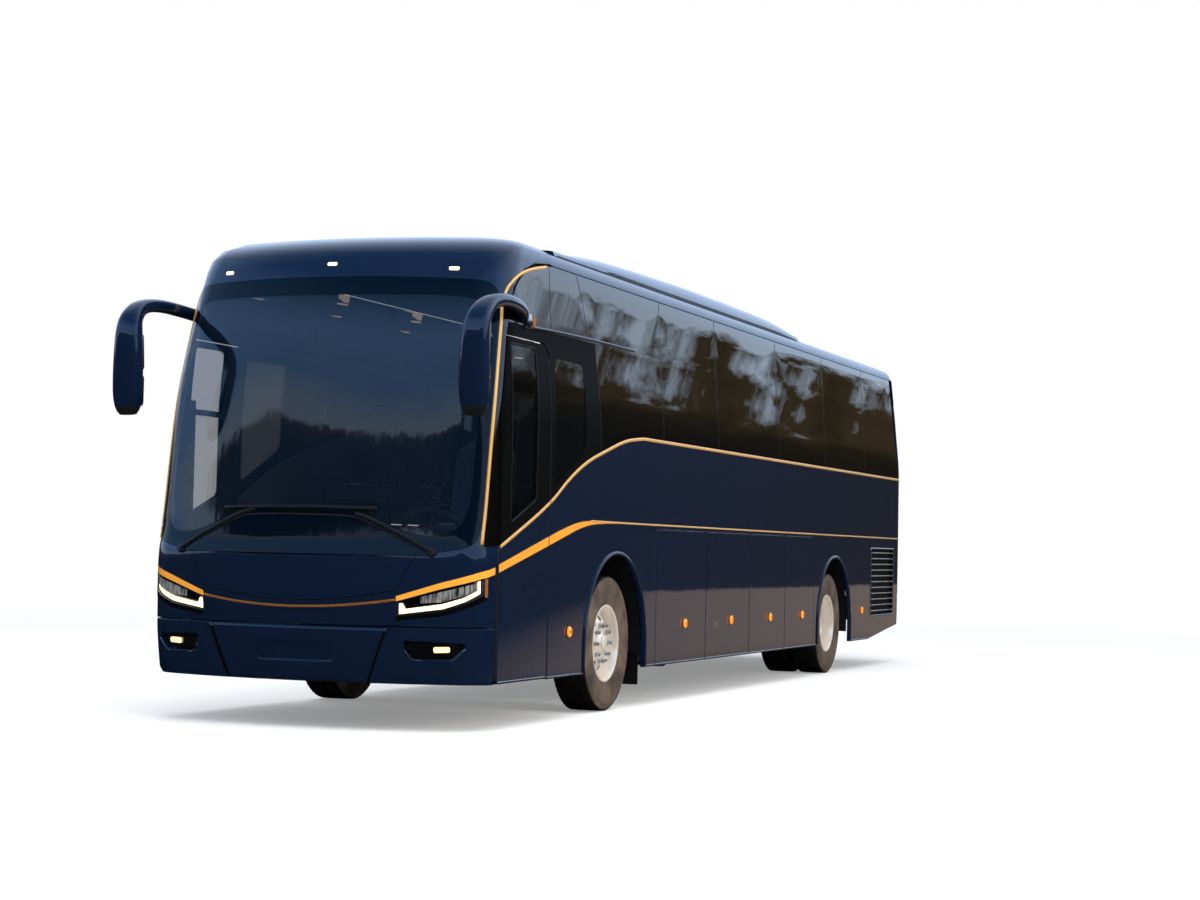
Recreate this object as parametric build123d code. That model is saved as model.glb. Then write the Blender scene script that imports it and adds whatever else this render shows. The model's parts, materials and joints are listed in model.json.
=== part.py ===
from build123d import *
import math
import os

# A two-axle touring coach with the driver on the left, in millimetres.
# +X is the coach's left side, the front faces -Y, +Z is up, and the ground is at z = 0.
# Lengthwise places are given as distances behind the nose and turned into Y by at().

# Driving dimensions
LENGTH = 13115
HALF_WIDTH = 1275
SILL_HEIGHT = 310
BELT_HEIGHT = 2135
CANTRAIL_HEIGHT = 3300
CANTRAIL_HALF_WIDTH = 1197
WALL = 50
GLASS = 8
GLASS_BED = 0.4
PANEL_GAP = 6
SEAT_GAP = 0.3
SEAM = 0.4
FRONT_OVERHANG = 2960
WHEELBASE = 6900
MIRROR_REACH = 95
CORNER_RADIUS = 300
FRONT_BOW = 2800
REAR_CORNER_RADIUS = 180
REAR_BOW = 9000

# Wheels and running gear
TYRE_RADIUS = 522
TYRE_WIDTH = 290
RIM_RADIUS = 286
TRACK_FRONT = 2140
TRACK_REAR_OUTER = 2140
TWIN_SPACING = 335
AXLE_HEIGHT = TYRE_RADIUS
RIM_LIP = 30
RIM_WALL = 14
DISC_HALF = 9
DISC_OFFSET = 70
HUB_STAND = 95
HUB_CAP = 33
REAR_HUB_STAND = 60
REAR_HUB_CAP = 28
KINGPIN_X = 900
ARCH_RADIUS = 695
ARCH_CENTRE_HEIGHT = 510
RUNNING_FIT = 0.5
SPINDLE_RADIUS = 38
HUB_RADIUS = 105
HAND_HOLES = 10
HAND_HOLE_RADIUS = 28
HAND_HOLE_CIRCLE = 196
HAND_HOLE_SIDES = 12
SPRING_X = 440
SPRING_RADIUS = 110
SPRING_PAD_TOP = AXLE_HEIGHT + 20
SPRING_PAD_FOOT = AXLE_HEIGHT - 40
REAR_SPRINGS = 400
BEAM_HALF = 45
BEAM_TOP = AXLE_HEIGHT + BEAM_HALF
BEAM_FOOT = AXLE_HEIGHT - BEAM_HALF
BEAM_DROP_FROM = 620
BEAM_DROP_TO = 520
BEAM_DROP_TOP = AXLE_HEIGHT - 30
BEAM_DROP_FOOT = AXLE_HEIGHT - 130
EYE_RADIUS = 55
PIN_RADIUS = 24
LUG_REACH = 40
FORK_PLATE = 32
FORK_HALF = 60
STEERING_ARM = 230
STEERING_ARM_WIDTH = 40
STEERING_ARM_HEIGHT = 25
SPINDLE_START = 70
REAR_TUBE_RADIUS = 75
DIFFERENTIAL_RADIUS = 210
DIFFERENTIAL_HALF = 150
SPRING_BEAM_HALF = 45
SPRING_BEAM_LENGTH = 480
SPRING_BEAM_HEIGHT = 50

# Stations of the body's outside form, from the sill up to the crown of the roof
# columns: height, half width, setback of the front face, set-in of the rear face
BODY_STATIONS = [
    (SILL_HEIGHT, HALF_WIDTH, 70, 60),
    (700, HALF_WIDTH, 10, 0),
    (1150, HALF_WIDTH, 0, 0),
    (1250, HALF_WIDTH, 25, 0),
    (BELT_HEIGHT, HALF_WIDTH, 175, 20),
    (2700, None, 300, 60),
    (3050, None, 420, 100),
    (CANTRAIL_HEIGHT, CANTRAIL_HALF_WIDTH, 560, 175),
    (3370, CANTRAIL_HALF_WIDTH - 32, 680, 230),
    (3420, CANTRAIL_HALF_WIDTH - 107, 850, 320),
    (3460, CANTRAIL_HALF_WIDTH - 297, 1150, 480),
    (3500, CANTRAIL_HALF_WIDTH - 637, 1500, 750),
    (3520, CANTRAIL_HALF_WIDTH - 997, 1900, 1100),
]
ROOF_TOP = BODY_STATIONS[-1][0]
ROOF_FOOT = 3400

# Panel seams, as distances behind the nose
FRONT_SEAM = 560
DOOR_REAR = 1500
DOOR_FRONT_GAP = 10
DOOR_HEAD_FRONT = 710
CAP_ROOF_SEAM = 1600
REAR_SEAM = LENGTH - 255
FLAP_SEAMS = [3930, 5300, 6650, 7890, 9000]
FLAP_TOP = 1425
REAR_BUMPER_TOP = 770
BUMPER_TOP = 700
DOOR_TOP = 2700
REAR_RISE_START = 11375
REAR_RISE = 160

# Glass band along the side, as (distance, height) along its lower edge
BELT_CURVE = [(FRONT_SEAM, 1245), (1480, 1555), (1866, 1758), (2263, 1906), (2683, 2003), (3120, 2103),
              (3700, BELT_HEIGHT)]
PANE_SEAMS = [2300, 4050, 5600, 7600, 9400, 11150]
BAND_REAR_TOP = 12560
BAND_REAR_BOTTOM = REAR_SEAM - 20
PILLAR = 55
WINDOW_HEAD = CANTRAIL_HEIGHT - 85

# Floors
SALOON_FLOOR = 1255
FLOOR_SHEET = 40
STEP_START = 40
STEP_END = 60
AISLE_STEP_HALF = 300
AISLE_STEP = 300
CAB_NOSE = 200
CAB_FLOOR = 860
LUGGAGE_FLOOR = 400
LUGGAGE_SHEET = 40
BULKHEAD = 30
DECK_POST = 50
STEP_FLOOR = 430
INSIDE = HALF_WIDTH - WALL

SALOON_FRONT = 2255
STEP_INNER = 500
STEPS = 3
RISER = 30
RAIL_INNER = 400
RAIL_OUTER = 470
RAIL_FRONT_DEPTH = 120
RAIL_REAR_DEPTH = 250
RAIL_REAR_END = 12840
RAIL_NOSE = 220
STEP_FRAME_DEPTH = 350
ENGINE_FRONT = 11400
ENGINE_REAR = 12700
ENGINE_BOTTOM = 520
GEARBOX_HALF = 180
GEARBOX_LENGTH = 700
GEARBOX_HEIGHT = 360
ENGINE_COVER_GAP = 120
CROSS_MEMBER = 60
FRONT_CROSS_MEMBERS = [300, 1100, 1900, 2400, 3550]
REAR_CROSS_MEMBERS = [9300, 10400, 11300, RAIL_REAR_END - CROSS_MEMBER]

# Lamps, louvres and glass details
DOOR_RAIL = 110
DOOR_HEADER = 60
QUARTER_FRONT = 1600
QUARTER_REAR = 2240
SCREEN_FOOT_X = 1245
SCREEN_FOOT = 1190
SCREEN_HEAD_X = 1080
SCREEN_HEAD = 3100
BAND_TOP = 3285
WINDOW_RAIL = 75
WINDOW_ROUNDING = 40
REAR_WINDOW_ROUNDING = 60
GLASS_MARGIN = 2
BOND_WIDTH = 45
PANE_GAP = 8
LAMP_DEPTH = 45
TRIM_HEIGHT = 25
MARKER_RADIUS = 42
MARKER_HEIGHT = 20
MARKER_CENTRE = 640
MARKER_SHIFT = 80
SIDE_MARKERS = [1920, 11070]
PLATE_WIDTH = 560
PLATE_HEIGHT = 130
PLATE_BED = 66
PLATE_CENTRE = 517
DOOR_GLASS_FRONT = 740
DOOR_GLASS_REAR = 1260
GRILLE_FRONT = 11530
GRILLE_REAR = 12600
GRILLE_FOOT = 640
GRILLE_SLOTS = 11
GRILLE_PITCH = 60
GRILLE_SLOT = 26
LID_TOP = 1950
LID_HINGE_HALF = 40
LID_HINGE_INNER = 55
LID_HINGE_OUTER = 28
LID_HINGE_X = 500
LID_FOOT = 920
LID_SLOTS = 8
LID_PITCH = 62
LID_SLOT = 26
LID_SLOT_HALF_WIDTH = 560

# On the roof
FAIRING_FRONT = 1800
FAIRING_REAR = 8700
FAIRING_SECTION = [(1120, 3425), (1140, 3440), (1090, 3520), (960, 3560), (700, 3570), (640, 3400),
                   (1040, 3380), (1060, 3420)]
FAIRING_NOSE = [(0, 3440), (900, 3535), (1900, 3700)]
FAIRING_TAIL = [(0, 3440), (600, 3560), (1200, 3700)]
COOLER_HALF_WIDTH = 560
COOLER_FRONT = 5000
COOLER_REAR = 7700
COOLER_TOP = 3640
COOLER_SHOULDER = 60
COOLER_TAPER = 80
COOLER_FANS = 3
FAN_FIRST = 450
FAN_PITCH = 700
FAN_RADIUS = 250
FAN_DEPTH = 40
HATCHES = [3300, 10200]
HATCH_HALF_WIDTH = 330
HATCH_HALF_LENGTH = 280
HATCH_TOP = 3565
HATCH_RIM = 60
MUD_FLAP_INNER = 900
MUD_FLAP_OUTER = 1210
MUD_FLAP_FOOT = 170
MUD_FLAP_TOP = 700

# Passenger door gear
POST_IN = 62
POST_BEHIND = 85
POST_RADIUS = 22
POST_TOP = 2250
DOOR_ARM = 665
DOOR_ARM_HEIGHTS = [1000, 2150]
ARM_DEPTH = 40
ARM_PIN = 9
LUG = 12
LUG_HALF = 20

# Mirrors, from the root over the door forward and down to the foot of the head
# columns: x, distance, height, half width, half depth
MIRROR_ROWS = [
    (1185, 1100, 2838, 30, 42),
    (1255, 980, 2868, 34, 45),
    (1335, 420, 2915, 46, 45),
    (1330, 160, 2880, 58, 52),
    (1316, 20, 2775, 80, 66),
    (1305, -14, 2620, 97, 78),
    (1303, -16, 2360, 103, 79),
    (1304, -8, 2190, 100, 68),
    (1306, 10, 2112, 62, 34),
]
MIRROR_ROUNDING = 0.6

# Wipers as parked, as (x, height) outlines seen from the front: the long one lies along the cowl's top edge
WIPER_LONG = [(-990, 1196), (-950, 1180), (-440, 1430), (-380, 1458), (560, 1474), (565, 1494), (100, 1504),
              (-590, 1486), (-590, 1468), (-470, 1462)]
WIPER_SHORT = [(985, 1214), (905, 1196), (560, 1390), (420, 1444), (470, 1456), (620, 1432)]

# Cab and saloon
WHEEL_X = 620
WHEEL_DISTANCE = 800
WHEEL_BASE = 1150
COLUMN_LENGTH = 260
COLUMN_TILT = (0.62, 0.78)
WHEEL_RADIUS = 242
WHEEL_GRIP = 34
COLUMN_RADIUS = 30
SPOKE = (40, 20)
WHEEL_PAD = (60, 30)
RACK_GAP = 0.8
RACK_FOOT = 2760
RACK_HEAD = 3060
RACK_SHEET = 15
RACK_LIP = [(780, 2790), (760, 2850), (790, 2850), (800, 2815)]
SEAT_ROWS = 12
SEAT_PITCH = 790
SEATS_FRONT = 2650
BENCHES = [(-INSIDE + 50, -280), (280, INSIDE - 50)]
SEAT_PROFILE = [(60, 250), (60, 420), (120, 450), (490, 470), (620, 1050), (700, 1060), (720, 1010),
                (620, 420), (580, 250)]
SEAT_BASE = (200, 480, 260)
SEAT_BASE_INSET = 60
DRIVER_SEAT_HALF = 250
DRIVER_SEAT_FRONT = 1180
DASHBOARD = [(400, 1180), (520, 1290), (760, 1290), (860, 1180)]
DASHBOARD_FOOT = 820
DASHBOARD_RIGHT = -450
DASHBOARD_LEFT = 1130
RACK_FRONT = 2500
RACK_REAR = 12400

NOSE_Y = -(LENGTH - MIRROR_REACH) / 2
FRONT_AXLE = FRONT_OVERHANG
REAR_AXLE = FRONT_OVERHANG + WHEELBASE


def at(distance):
    return NOSE_Y + distance


def block(x0, x1, d0, d1, z0, z1):
    centre = Pos((x0 + x1) / 2, at((d0 + d1) / 2), (z0 + z1) / 2)
    return centre * Box(abs(x1 - x0), abs(d1 - d0), abs(z1 - z0))


def outline_face(points, grow=0, rounding=0):
    # a flat face in its own plane, grown or shrunk all round, with its corners rounded
    face = make_face(Polyline(*points, close=True))
    if grow:
        face = offset(face, amount=grow, kind=Kind.INTERSECTION)
    if rounding:
        face = fillet(face.vertices(), rounding)
    return face


def side_prism(points, x0, x1, grow=0, rounding=0):
    # a prism across the coach whose outline is given as (distance, height)
    face = outline_face([(at(d), z) for d, z in points], grow, rounding)
    return Plane(origin=(x0, 0, 0), x_dir=(0, 1, 0), z_dir=(1, 0, 0)) * extrude(face, amount=x1 - x0)


def front_prism(points, d0, d1, grow=0, rounding=0):
    # a prism along the coach whose outline is given as (x, height)
    face = outline_face([(-x, z) for x, z in points], grow, rounding)
    return Plane(origin=(0, at(d0), 0), x_dir=(-1, 0, 0), z_dir=(0, 1, 0)) * extrude(face, amount=d1 - d0)


def tube_x(x0, x1, distance, height, radius):
    # a round bar across the coach
    return Plane(origin=(x0, at(distance), height), z_dir=(1, 0, 0)) * extrude(Circle(radius), amount=x1 - x0)


def post(x, distance, z0, z1, radius):
    return Plane(origin=(x, at(distance), z0)) * extrude(Circle(radius), amount=z1 - z0)


def mirrored(piece):
    return mirror(piece, about=Plane.YZ)


def joined(pieces):
    whole = pieces[0]
    for piece in pieces[1:]:
        whole = whole + piece
    return whole


def half_width_at(height):
    # the side leans in by a straight line from the belt to the cantrail
    if height <= BELT_HEIGHT:
        return HALF_WIDTH
    share = (height - BELT_HEIGHT) / (CANTRAIL_HEIGHT - BELT_HEIGHT)
    return HALF_WIDTH + share * (CANTRAIL_HALF_WIDTH - HALF_WIDTH)


def plan_end(half_width, face_y, bow, radius, sense, inset):
    # the bowed end of a plan outline: where its corner meets the side and the bow, and the middle of each arc
    radius = min(radius, 0.45 * half_width)
    corner_x = half_width - radius
    corner_back = bow - math.sqrt((bow - radius) ** 2 - corner_x ** 2)
    angle = math.atan2(corner_x, bow - corner_back)
    r = radius - inset
    big = bow - inset
    middle = (math.pi / 2 + angle) / 2

    def corner(a):
        return (corner_x + r * math.sin(a), face_y + sense * (corner_back - r * math.cos(a)))

    return corner(math.pi / 2), corner(middle), corner(angle), (0, face_y + sense * (bow - big))


def plan_section(height, half_width, front, rear, inset):
    front_y = at(front)
    rear_y = at(LENGTH - rear)
    side_f, mid_f, tangent_f, nose = plan_end(half_width, front_y, FRONT_BOW, CORNER_RADIUS, 1, inset)
    side_r, mid_r, tangent_r, tail = plan_end(half_width, rear_y, REAR_BOW, REAR_CORNER_RADIUS, -1, inset)

    def right(p):
        return (-p[0], p[1], height)

    def left(p):
        return (p[0], p[1], height)

    edges = [
        ThreePointArc(right(tangent_f), left(nose), left(tangent_f)),
        ThreePointArc(left(tangent_f), left(mid_f), left(side_f)),
        Line(left(side_f), left(side_r)),
        ThreePointArc(left(side_r), left(mid_r), left(tangent_r)),
        ThreePointArc(left(tangent_r), left(tail), right(tangent_r)),
        ThreePointArc(right(tangent_r), right(mid_r), right(side_r)),
        Line(right(side_r), right(side_f)),
        ThreePointArc(right(side_f), right(mid_f), right(tangent_f)),
    ]
    return make_face(Curve() + edges)


def body_form(inset):
    # the closed form of the whole body, moved inwards by inset, as ruled bands between plan sections
    stations = [(z, half_width_at(z) if w is None else w, f, b) for z, w, f, b in BODY_STATIONS]
    sections = []
    for i, (z, w, f, b) in enumerate(stations):
        below = stations[max(i - 1, 0)]
        above = stations[min(i + 1, len(stations) - 1)]
        rise = above[0] - below[0]
        lean = below[1] - above[1]
        up = lean / math.hypot(rise, lean)
        if i == 0:
            up = 1 if inset > GLASS * 2 else 0
        sections.append(plan_section(z - inset * up, w, f, b, inset))
    return loft(sections, ruled=True)


def save(name, piece):
    os.makedirs("parts", exist_ok=True)
    export_step(piece, "parts/" + name + ".step")


def belt_at(distance):
    # height of the belt curve at a distance behind the nose
    for (d0, z0), (d1, z1) in zip(BELT_CURVE, BELT_CURVE[1:]):
        if distance <= d1:
            return z0 + (z1 - z0) * (distance - d0) / (d1 - d0)
    return BELT_HEIGHT


# how far the cutting forms reach past the body
REACH = HALF_WIDTH + 100
MID_SIDE = HALF_WIDTH - 400
AHEAD = -200
BEHIND = LENGTH + 50
SCREEN_BACK = 1000
HEAD_BACK = 1400
TAIL_START = 12000

outer = body_form(0)
shell = outer - body_form(WALL)
glass_layer = outer - body_form(GLASS)
bed_layer = outer - body_form(GLASS + GLASS_BED)

# Outlines on the side, as (distance, height)
CAP_EDGE = [(FRONT_SEAM, BELT_HEIGHT), (DOOR_HEAD_FRONT, DOOR_TOP), (860, 3050), (1060, 3200), (1300, 3275),
            (CAP_ROOF_SEAM, CANTRAIL_HEIGHT)]
cap_outline = [(AHEAD, BUMPER_TOP), (FRONT_SEAM, BUMPER_TOP)] + CAP_EDGE + [
    (CAP_ROOF_SEAM, ROOF_TOP + 100), (AHEAD, ROOF_TOP + 100)]
wall_outline = [(FRONT_SEAM, SILL_HEIGHT - 100)] + CAP_EDGE + [
    (REAR_SEAM, CANTRAIL_HEIGHT), (REAR_SEAM, SILL_HEIGHT - 100)]
rise_outline = [(REAR_RISE_START, SILL_HEIGHT - 200), (REAR_RISE_START, SILL_HEIGHT),
                (LENGTH + 100, SILL_HEIGHT + REAR_RISE), (LENGTH + 100, SILL_HEIGHT - 200)]
band_outline = BELT_CURVE + [
    (BAND_REAR_BOTTOM, BELT_HEIGHT), (BAND_REAR_TOP, BAND_TOP), (1500, BAND_TOP),
    (1310, BAND_TOP - 35), (1085, BAND_TOP - 105), (890, BAND_TOP - 245), (DOOR_HEAD_FRONT + 14, DOOR_TOP),
    (FRONT_SEAM, BELT_HEIGHT)]
door_outline = [(FRONT_SEAM, SILL_HEIGHT - 40), (DOOR_REAR, SILL_HEIGHT - 40), (DOOR_REAR, DOOR_TOP - 90),
                (DOOR_REAR - 90, DOOR_TOP), (DOOR_HEAD_FRONT, DOOR_TOP), (FRONT_SEAM, BELT_HEIGHT)]
door_window = [
    (DOOR_GLASS_FRONT, belt_at(DOOR_GLASS_FRONT) + DOOR_RAIL),
    (DOOR_GLASS_REAR, belt_at(DOOR_GLASS_REAR) + DOOR_RAIL),
    (DOOR_GLASS_REAR, DOOR_TOP - DOOR_HEADER),
    (DOOR_GLASS_FRONT, DOOR_TOP - DOOR_HEADER),
]
quarter_window = [
    (QUARTER_FRONT, belt_at(QUARTER_FRONT) + WINDOW_RAIL),
    (QUARTER_REAR, belt_at(QUARTER_REAR) + WINDOW_RAIL),
    (QUARTER_REAR, DOOR_TOP - DOOR_HEADER),
    (QUARTER_FRONT, DOOR_TOP - DOOR_HEADER),
]
screen_half = [(700, SCREEN_FOOT), (SCREEN_FOOT_X, SCREEN_FOOT + 90), (SCREEN_HEAD_X, SCREEN_HEAD - 130),
               (SCREEN_HEAD_X - 110, SCREEN_HEAD - 30)]
screen_outline = screen_half + [(0, SCREEN_HEAD)] + [(-x, z) for x, z in reversed(screen_half)]
lamp_outline = [(700, 835), (1130, 868), (1262, 985), (1262, 1085), (1000, 985), (745, 925)]
fog_outline = [(905, 480), (1110, 495), (1140, 560), (930, 560)]
tail_outline = [(1030, 900), (1200, 900), (1200, 1560), (1060, 1560)]
lid_outline = [(-800, 800), (800, 800), (800, LID_TOP), (-800, LID_TOP)]
rear_window_outline = [(-960, 2220), (960, 2220), (900, 3000), (-900, 3000)]
grille_outline = [(11500, 560), (12630, 600), (12630, 1330), (11500, 1330)]


def window_outline(front, rear):
    # a window opening between two pane seams, its sill following the belt
    front += PILLAR
    rear -= PILLAR
    sill = [(d, belt_at(d) + WINDOW_RAIL) for d in (front, (front + rear) / 2, rear)]
    return sill + [(rear, WINDOW_HEAD), (front, WINDOW_HEAD)]


def arch(axle):
    # a round wheel opening with upright sides down to the sill
    disc = tube_x(0, REACH, axle, ARCH_CENTRE_HEIGHT, ARCH_RADIUS)
    return disc + block(0, REACH, axle - ARCH_RADIUS, axle + ARCH_RADIUS, 0, ARCH_CENTRE_HEIGHT)


def marker_boss(distance):
    return tube_x(HALF_WIDTH - 10, HALF_WIDTH + MARKER_HEIGHT, distance, MARKER_CENTRE, MARKER_RADIUS)


# Front cap, windscreen, bumper and lamps
cap_zone = side_prism(cap_outline, -REACH, REACH)
front_cap = shell & cap_zone
windscreen = glass_layer & front_prism(screen_outline, AHEAD, SCREEN_BACK)
front_cap -= bed_layer & front_prism(screen_outline, AHEAD, SCREEN_BACK, grow=GLASS_MARGIN)
front_cap -= front_prism(screen_outline, AHEAD, HEAD_BACK, grow=-BOND_WIDTH)
bumper_zone = block(-REACH, REACH, AHEAD, FRONT_SEAM, 0, BUMPER_TOP - SEAM)
front_bumper = shell & bumper_zone
for side in (1, -1):
    lamp_points = [(side * x, z) for x, z in lamp_outline]
    fog_points = [(side * x, z) for x, z in fog_outline]
    front_cap -= front_prism(lamp_points, AHEAD, FRONT_SEAM)
    front_bumper -= front_prism(fog_points, AHEAD, FRONT_SEAM)
lamp_layer = (outer - body_form(LAMP_DEPTH)) & block(-REACH, REACH, AHEAD, FRONT_SEAM - 1, 0, SCREEN_FOOT)
front_lamps = Compound(children=[
    lamp_layer & front_prism([(side * x, z) for x, z in points], AHEAD, FRONT_SEAM, grow=-SEAT_GAP)
    for points in (lamp_outline, fog_outline) for side in (1, -1)])
front_bumper -= block(-PLATE_WIDTH / 2, PLATE_WIDTH / 2, AHEAD, PLATE_BED,
                      PLATE_CENTRE - PLATE_HEIGHT / 2, PLATE_CENTRE + PLATE_HEIGHT / 2)

# Side walls with their doors, flaps and glass
wall_zone = side_prism(wall_outline, MID_SIDE - 500, REACH)
wall = shell & wall_zone & block(0, REACH, FRONT_SEAM + SEAM, LENGTH, 0, CANTRAIL_HEIGHT - SEAM)
wall -= side_prism(cap_outline, 0, REACH, grow=SEAM)
wall -= side_prism(rise_outline, 0, REACH)
band = side_prism(band_outline, MID_SIDE - 300, REACH)
door_zone = side_prism(door_outline, MID_SIDE - 300, REACH, grow=-PANEL_GAP / 2)
# the front edge stands back a little further, to turn clear of the front cap
door_zone = door_zone & Pos(0, DOOR_FRONT_GAP - PANEL_GAP / 2, 0) * door_zone
door_sill = block(0, REACH, 0, 3000, 0, SILL_HEIGHT + PANEL_GAP)
door = (shell & door_zone) - door_sill - side_prism(door_window, MID_SIDE, REACH, rounding=WINDOW_ROUNDING)
door -= bed_layer & band & door_zone
door_glass = glass_layer & door_zone & band
wall -= side_prism(door_outline, MID_SIDE - 300, REACH, grow=PANEL_GAP / 2)
flap_zone = block(MID_SIDE, REACH, FLAP_SEAMS[0], FLAP_SEAMS[-1], 0, FLAP_TOP)
wall -= flap_zone
flaps = []
for front, rear in zip(FLAP_SEAMS, FLAP_SEAMS[1:]):
    zone = block(MID_SIDE, REACH, front + PANEL_GAP / 2, rear - PANEL_GAP / 2, 0, FLAP_TOP - PANEL_GAP)
    flap = (shell & zone) + marker_boss((front + rear) / 2 + MARKER_SHIFT)
    flaps.append(flap)
wall -= arch(FRONT_AXLE)
wall -= arch(REAR_AXLE)
wall -= bed_layer & band
pane_edges = [DOOR_REAR + PANEL_GAP] + PANE_SEAMS + [BAND_REAR_TOP]
for front, rear in zip(pane_edges[1:], pane_edges[2:]):
    wall -= side_prism(window_outline(front, rear), MID_SIDE, REACH, rounding=WINDOW_ROUNDING)
wall -= side_prism(quarter_window, MID_SIDE, REACH, rounding=WINDOW_ROUNDING)
wall -= side_prism(grille_outline, MID_SIDE, REACH)
for distance in SIDE_MARKERS:
    wall += marker_boss(distance)
glass_zone = (glass_layer & band & wall_zone) - side_prism(door_outline, 0, REACH, grow=PANEL_GAP / 2)
glass_zone -= side_prism(cap_outline, 0, REACH, grow=PANEL_GAP)
for seam in PANE_SEAMS:
    glass_zone -= block(0, REACH, seam - PANE_GAP / 2, seam + PANE_GAP / 2, 0, ROOF_TOP)
grille = shell & side_prism(grille_outline, MID_SIDE, REACH, grow=-SEAT_GAP)
for i in range(GRILLE_SLOTS):
    low = GRILLE_FOOT + i * GRILLE_PITCH
    grille -= block(0, REACH, GRILLE_FRONT, GRILLE_REAR, low, low + GRILLE_SLOT)

# Roof, its side fairings, the cooling unit and the two hatches
roof = shell & block(-REACH, REACH, CAP_ROOF_SEAM + SEAM, REAR_SEAM, CANTRAIL_HEIGHT, ROOF_TOP + 10)
above_roof = block(-REACH, REACH, 0, LENGTH, CANTRAIL_HEIGHT, ROOF_TOP + 400) - body_form(-SEAT_GAP)
fairing = front_prism(FAIRING_SECTION, FAIRING_FRONT, FAIRING_REAR) & above_roof
for end, sense, nose in ((FAIRING_FRONT, 1, FAIRING_NOSE), (FAIRING_REAR, -1, FAIRING_TAIL)):
    above_nose = [(end - sense * 10, 3380), (end - sense * 10, nose[-1][1])]
    above_nose += [(end + sense * length, z) for length, z in reversed(nose)]
    fairing -= side_prism(above_nose, 0, REACH)
roof_fairings = Compound(children=[fairing, mirrored(fairing)])
cooler_half = [(COOLER_HALF_WIDTH, ROOF_FOOT), (COOLER_HALF_WIDTH, COOLER_TOP - COOLER_SHOULDER),
               (COOLER_HALF_WIDTH - COOLER_TAPER, COOLER_TOP)]
cooler_section = cooler_half + [(-x, z) for x, z in reversed(cooler_half)]
cooler = front_prism(cooler_section, COOLER_FRONT, COOLER_REAR) & above_roof
for i in range(COOLER_FANS):
    fan_place = COOLER_FRONT + FAN_FIRST + i * FAN_PITCH
    cooler -= post(0, fan_place, COOLER_TOP - FAN_DEPTH, COOLER_TOP + 10, FAN_RADIUS)
hatches = []
for distance in HATCHES:
    roof -= block(-HATCH_HALF_WIDTH, HATCH_HALF_WIDTH, distance - HATCH_HALF_LENGTH,
                  distance + HATCH_HALF_LENGTH, CANTRAIL_HEIGHT - 100, ROOF_TOP + 100)
    half_width = HATCH_HALF_WIDTH + HATCH_RIM
    half_length = HATCH_HALF_LENGTH + HATCH_RIM
    lid = block(-half_width, half_width, distance - half_length, distance + half_length, ROOF_FOOT, HATCH_TOP)
    hatches.append(lid & above_roof)

# The passenger door hangs on two arms that swing about an upright post behind its front edge
post_place = (-INSIDE + POST_IN, FRONT_SEAM + POST_BEHIND)
arm_place = (post_place[0], post_place[1] + DOOR_ARM)
front_door_post = post(*post_place, STEP_FLOOR + SEAT_GAP, POST_TOP, POST_RADIUS)
front_door = mirrored(door)
arm_half = POST_RADIUS * 0.7
for z in DOOR_ARM_HEIGHTS:
    # an arm whose eye turns on a pin between two lugs of the door
    arm = block(post_place[0] - arm_half, post_place[0] + arm_half, post_place[1], arm_place[1],
                z, z + ARM_DEPTH)
    arm += post(*arm_place, z, z + ARM_DEPTH, POST_RADIUS)
    front_door_post += arm - post(*arm_place, z - 1, z + ARM_DEPTH + 1, ARM_PIN + RUNNING_FIT)
    front_door += post(*arm_place, z - LUG - 1, z + ARM_DEPTH + LUG + 1, ARM_PIN)
    for low in (z - LUG - 1, z + ARM_DEPTH + 1):
        front_door += block(-half_width_at(z) + WALL - 5, arm_place[0] + arm_half, arm_place[1] - LUG_HALF,
                            arm_place[1] + LUG_HALF, low, low + LUG)

# Rear end
rear_zone = block(-REACH, REACH, REAR_SEAM + SEAM, BEHIND, REAR_BUMPER_TOP, ROOF_TOP + 10)
rear_cap = shell & rear_zone
rear_cap -= front_prism(lid_outline, REAR_SEAM, BEHIND, grow=PANEL_GAP / 2, rounding=WINDOW_ROUNDING)
rear_glass_zone = front_prism(rear_window_outline, TAIL_START, BEHIND, rounding=REAR_WINDOW_ROUNDING)
rear_cap -= front_prism(rear_window_outline, TAIL_START, BEHIND, grow=-BOND_WIDTH,
                        rounding=REAR_WINDOW_ROUNDING)
rear_cap -= bed_layer & front_prism(rear_window_outline, TAIL_START, BEHIND, grow=GLASS_MARGIN,
                                    rounding=REAR_WINDOW_ROUNDING)
for x in (-LID_HINGE_X, LID_HINGE_X):
    rear_cap += block(x - LID_HINGE_HALF, x + LID_HINGE_HALF, LENGTH - LID_HINGE_INNER,
                      LENGTH - LID_HINGE_OUTER, LID_TOP - PANEL_GAP / 2 + SEAT_GAP, LID_TOP + PANEL_GAP)
rear_window = glass_layer & rear_glass_zone
for side in (1, -1):
    rear_cap -= front_prism([(side * x, z) for x, z in tail_outline], TAIL_START, BEHIND)
tail_layer = (outer - body_form(LAMP_DEPTH)) & rear_zone
tail_lamps = Compound(children=[
    tail_layer & front_prism([(side * x, z) for x, z in tail_outline], TAIL_START, BEHIND, grow=-SEAT_GAP)
    for side in (1, -1)])
rear_bumper = shell & block(-REACH, REACH, REAR_SEAM + SEAM, BEHIND, 0, REAR_BUMPER_TOP - SEAM)
rear_bumper -= side_prism(rise_outline, -REACH, REACH)
lid_zone = front_prism(lid_outline, REAR_SEAM, BEHIND, grow=-PANEL_GAP / 2, rounding=WINDOW_ROUNDING)
engine_lid = shell & rear_zone & lid_zone
for i in range(LID_SLOTS):
    low = LID_FOOT + i * LID_PITCH
    engine_lid -= block(-LID_SLOT_HALF_WIDTH, LID_SLOT_HALF_WIDTH, REAR_SEAM, BEHIND,
                        low, low + LID_SLOT)

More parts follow.
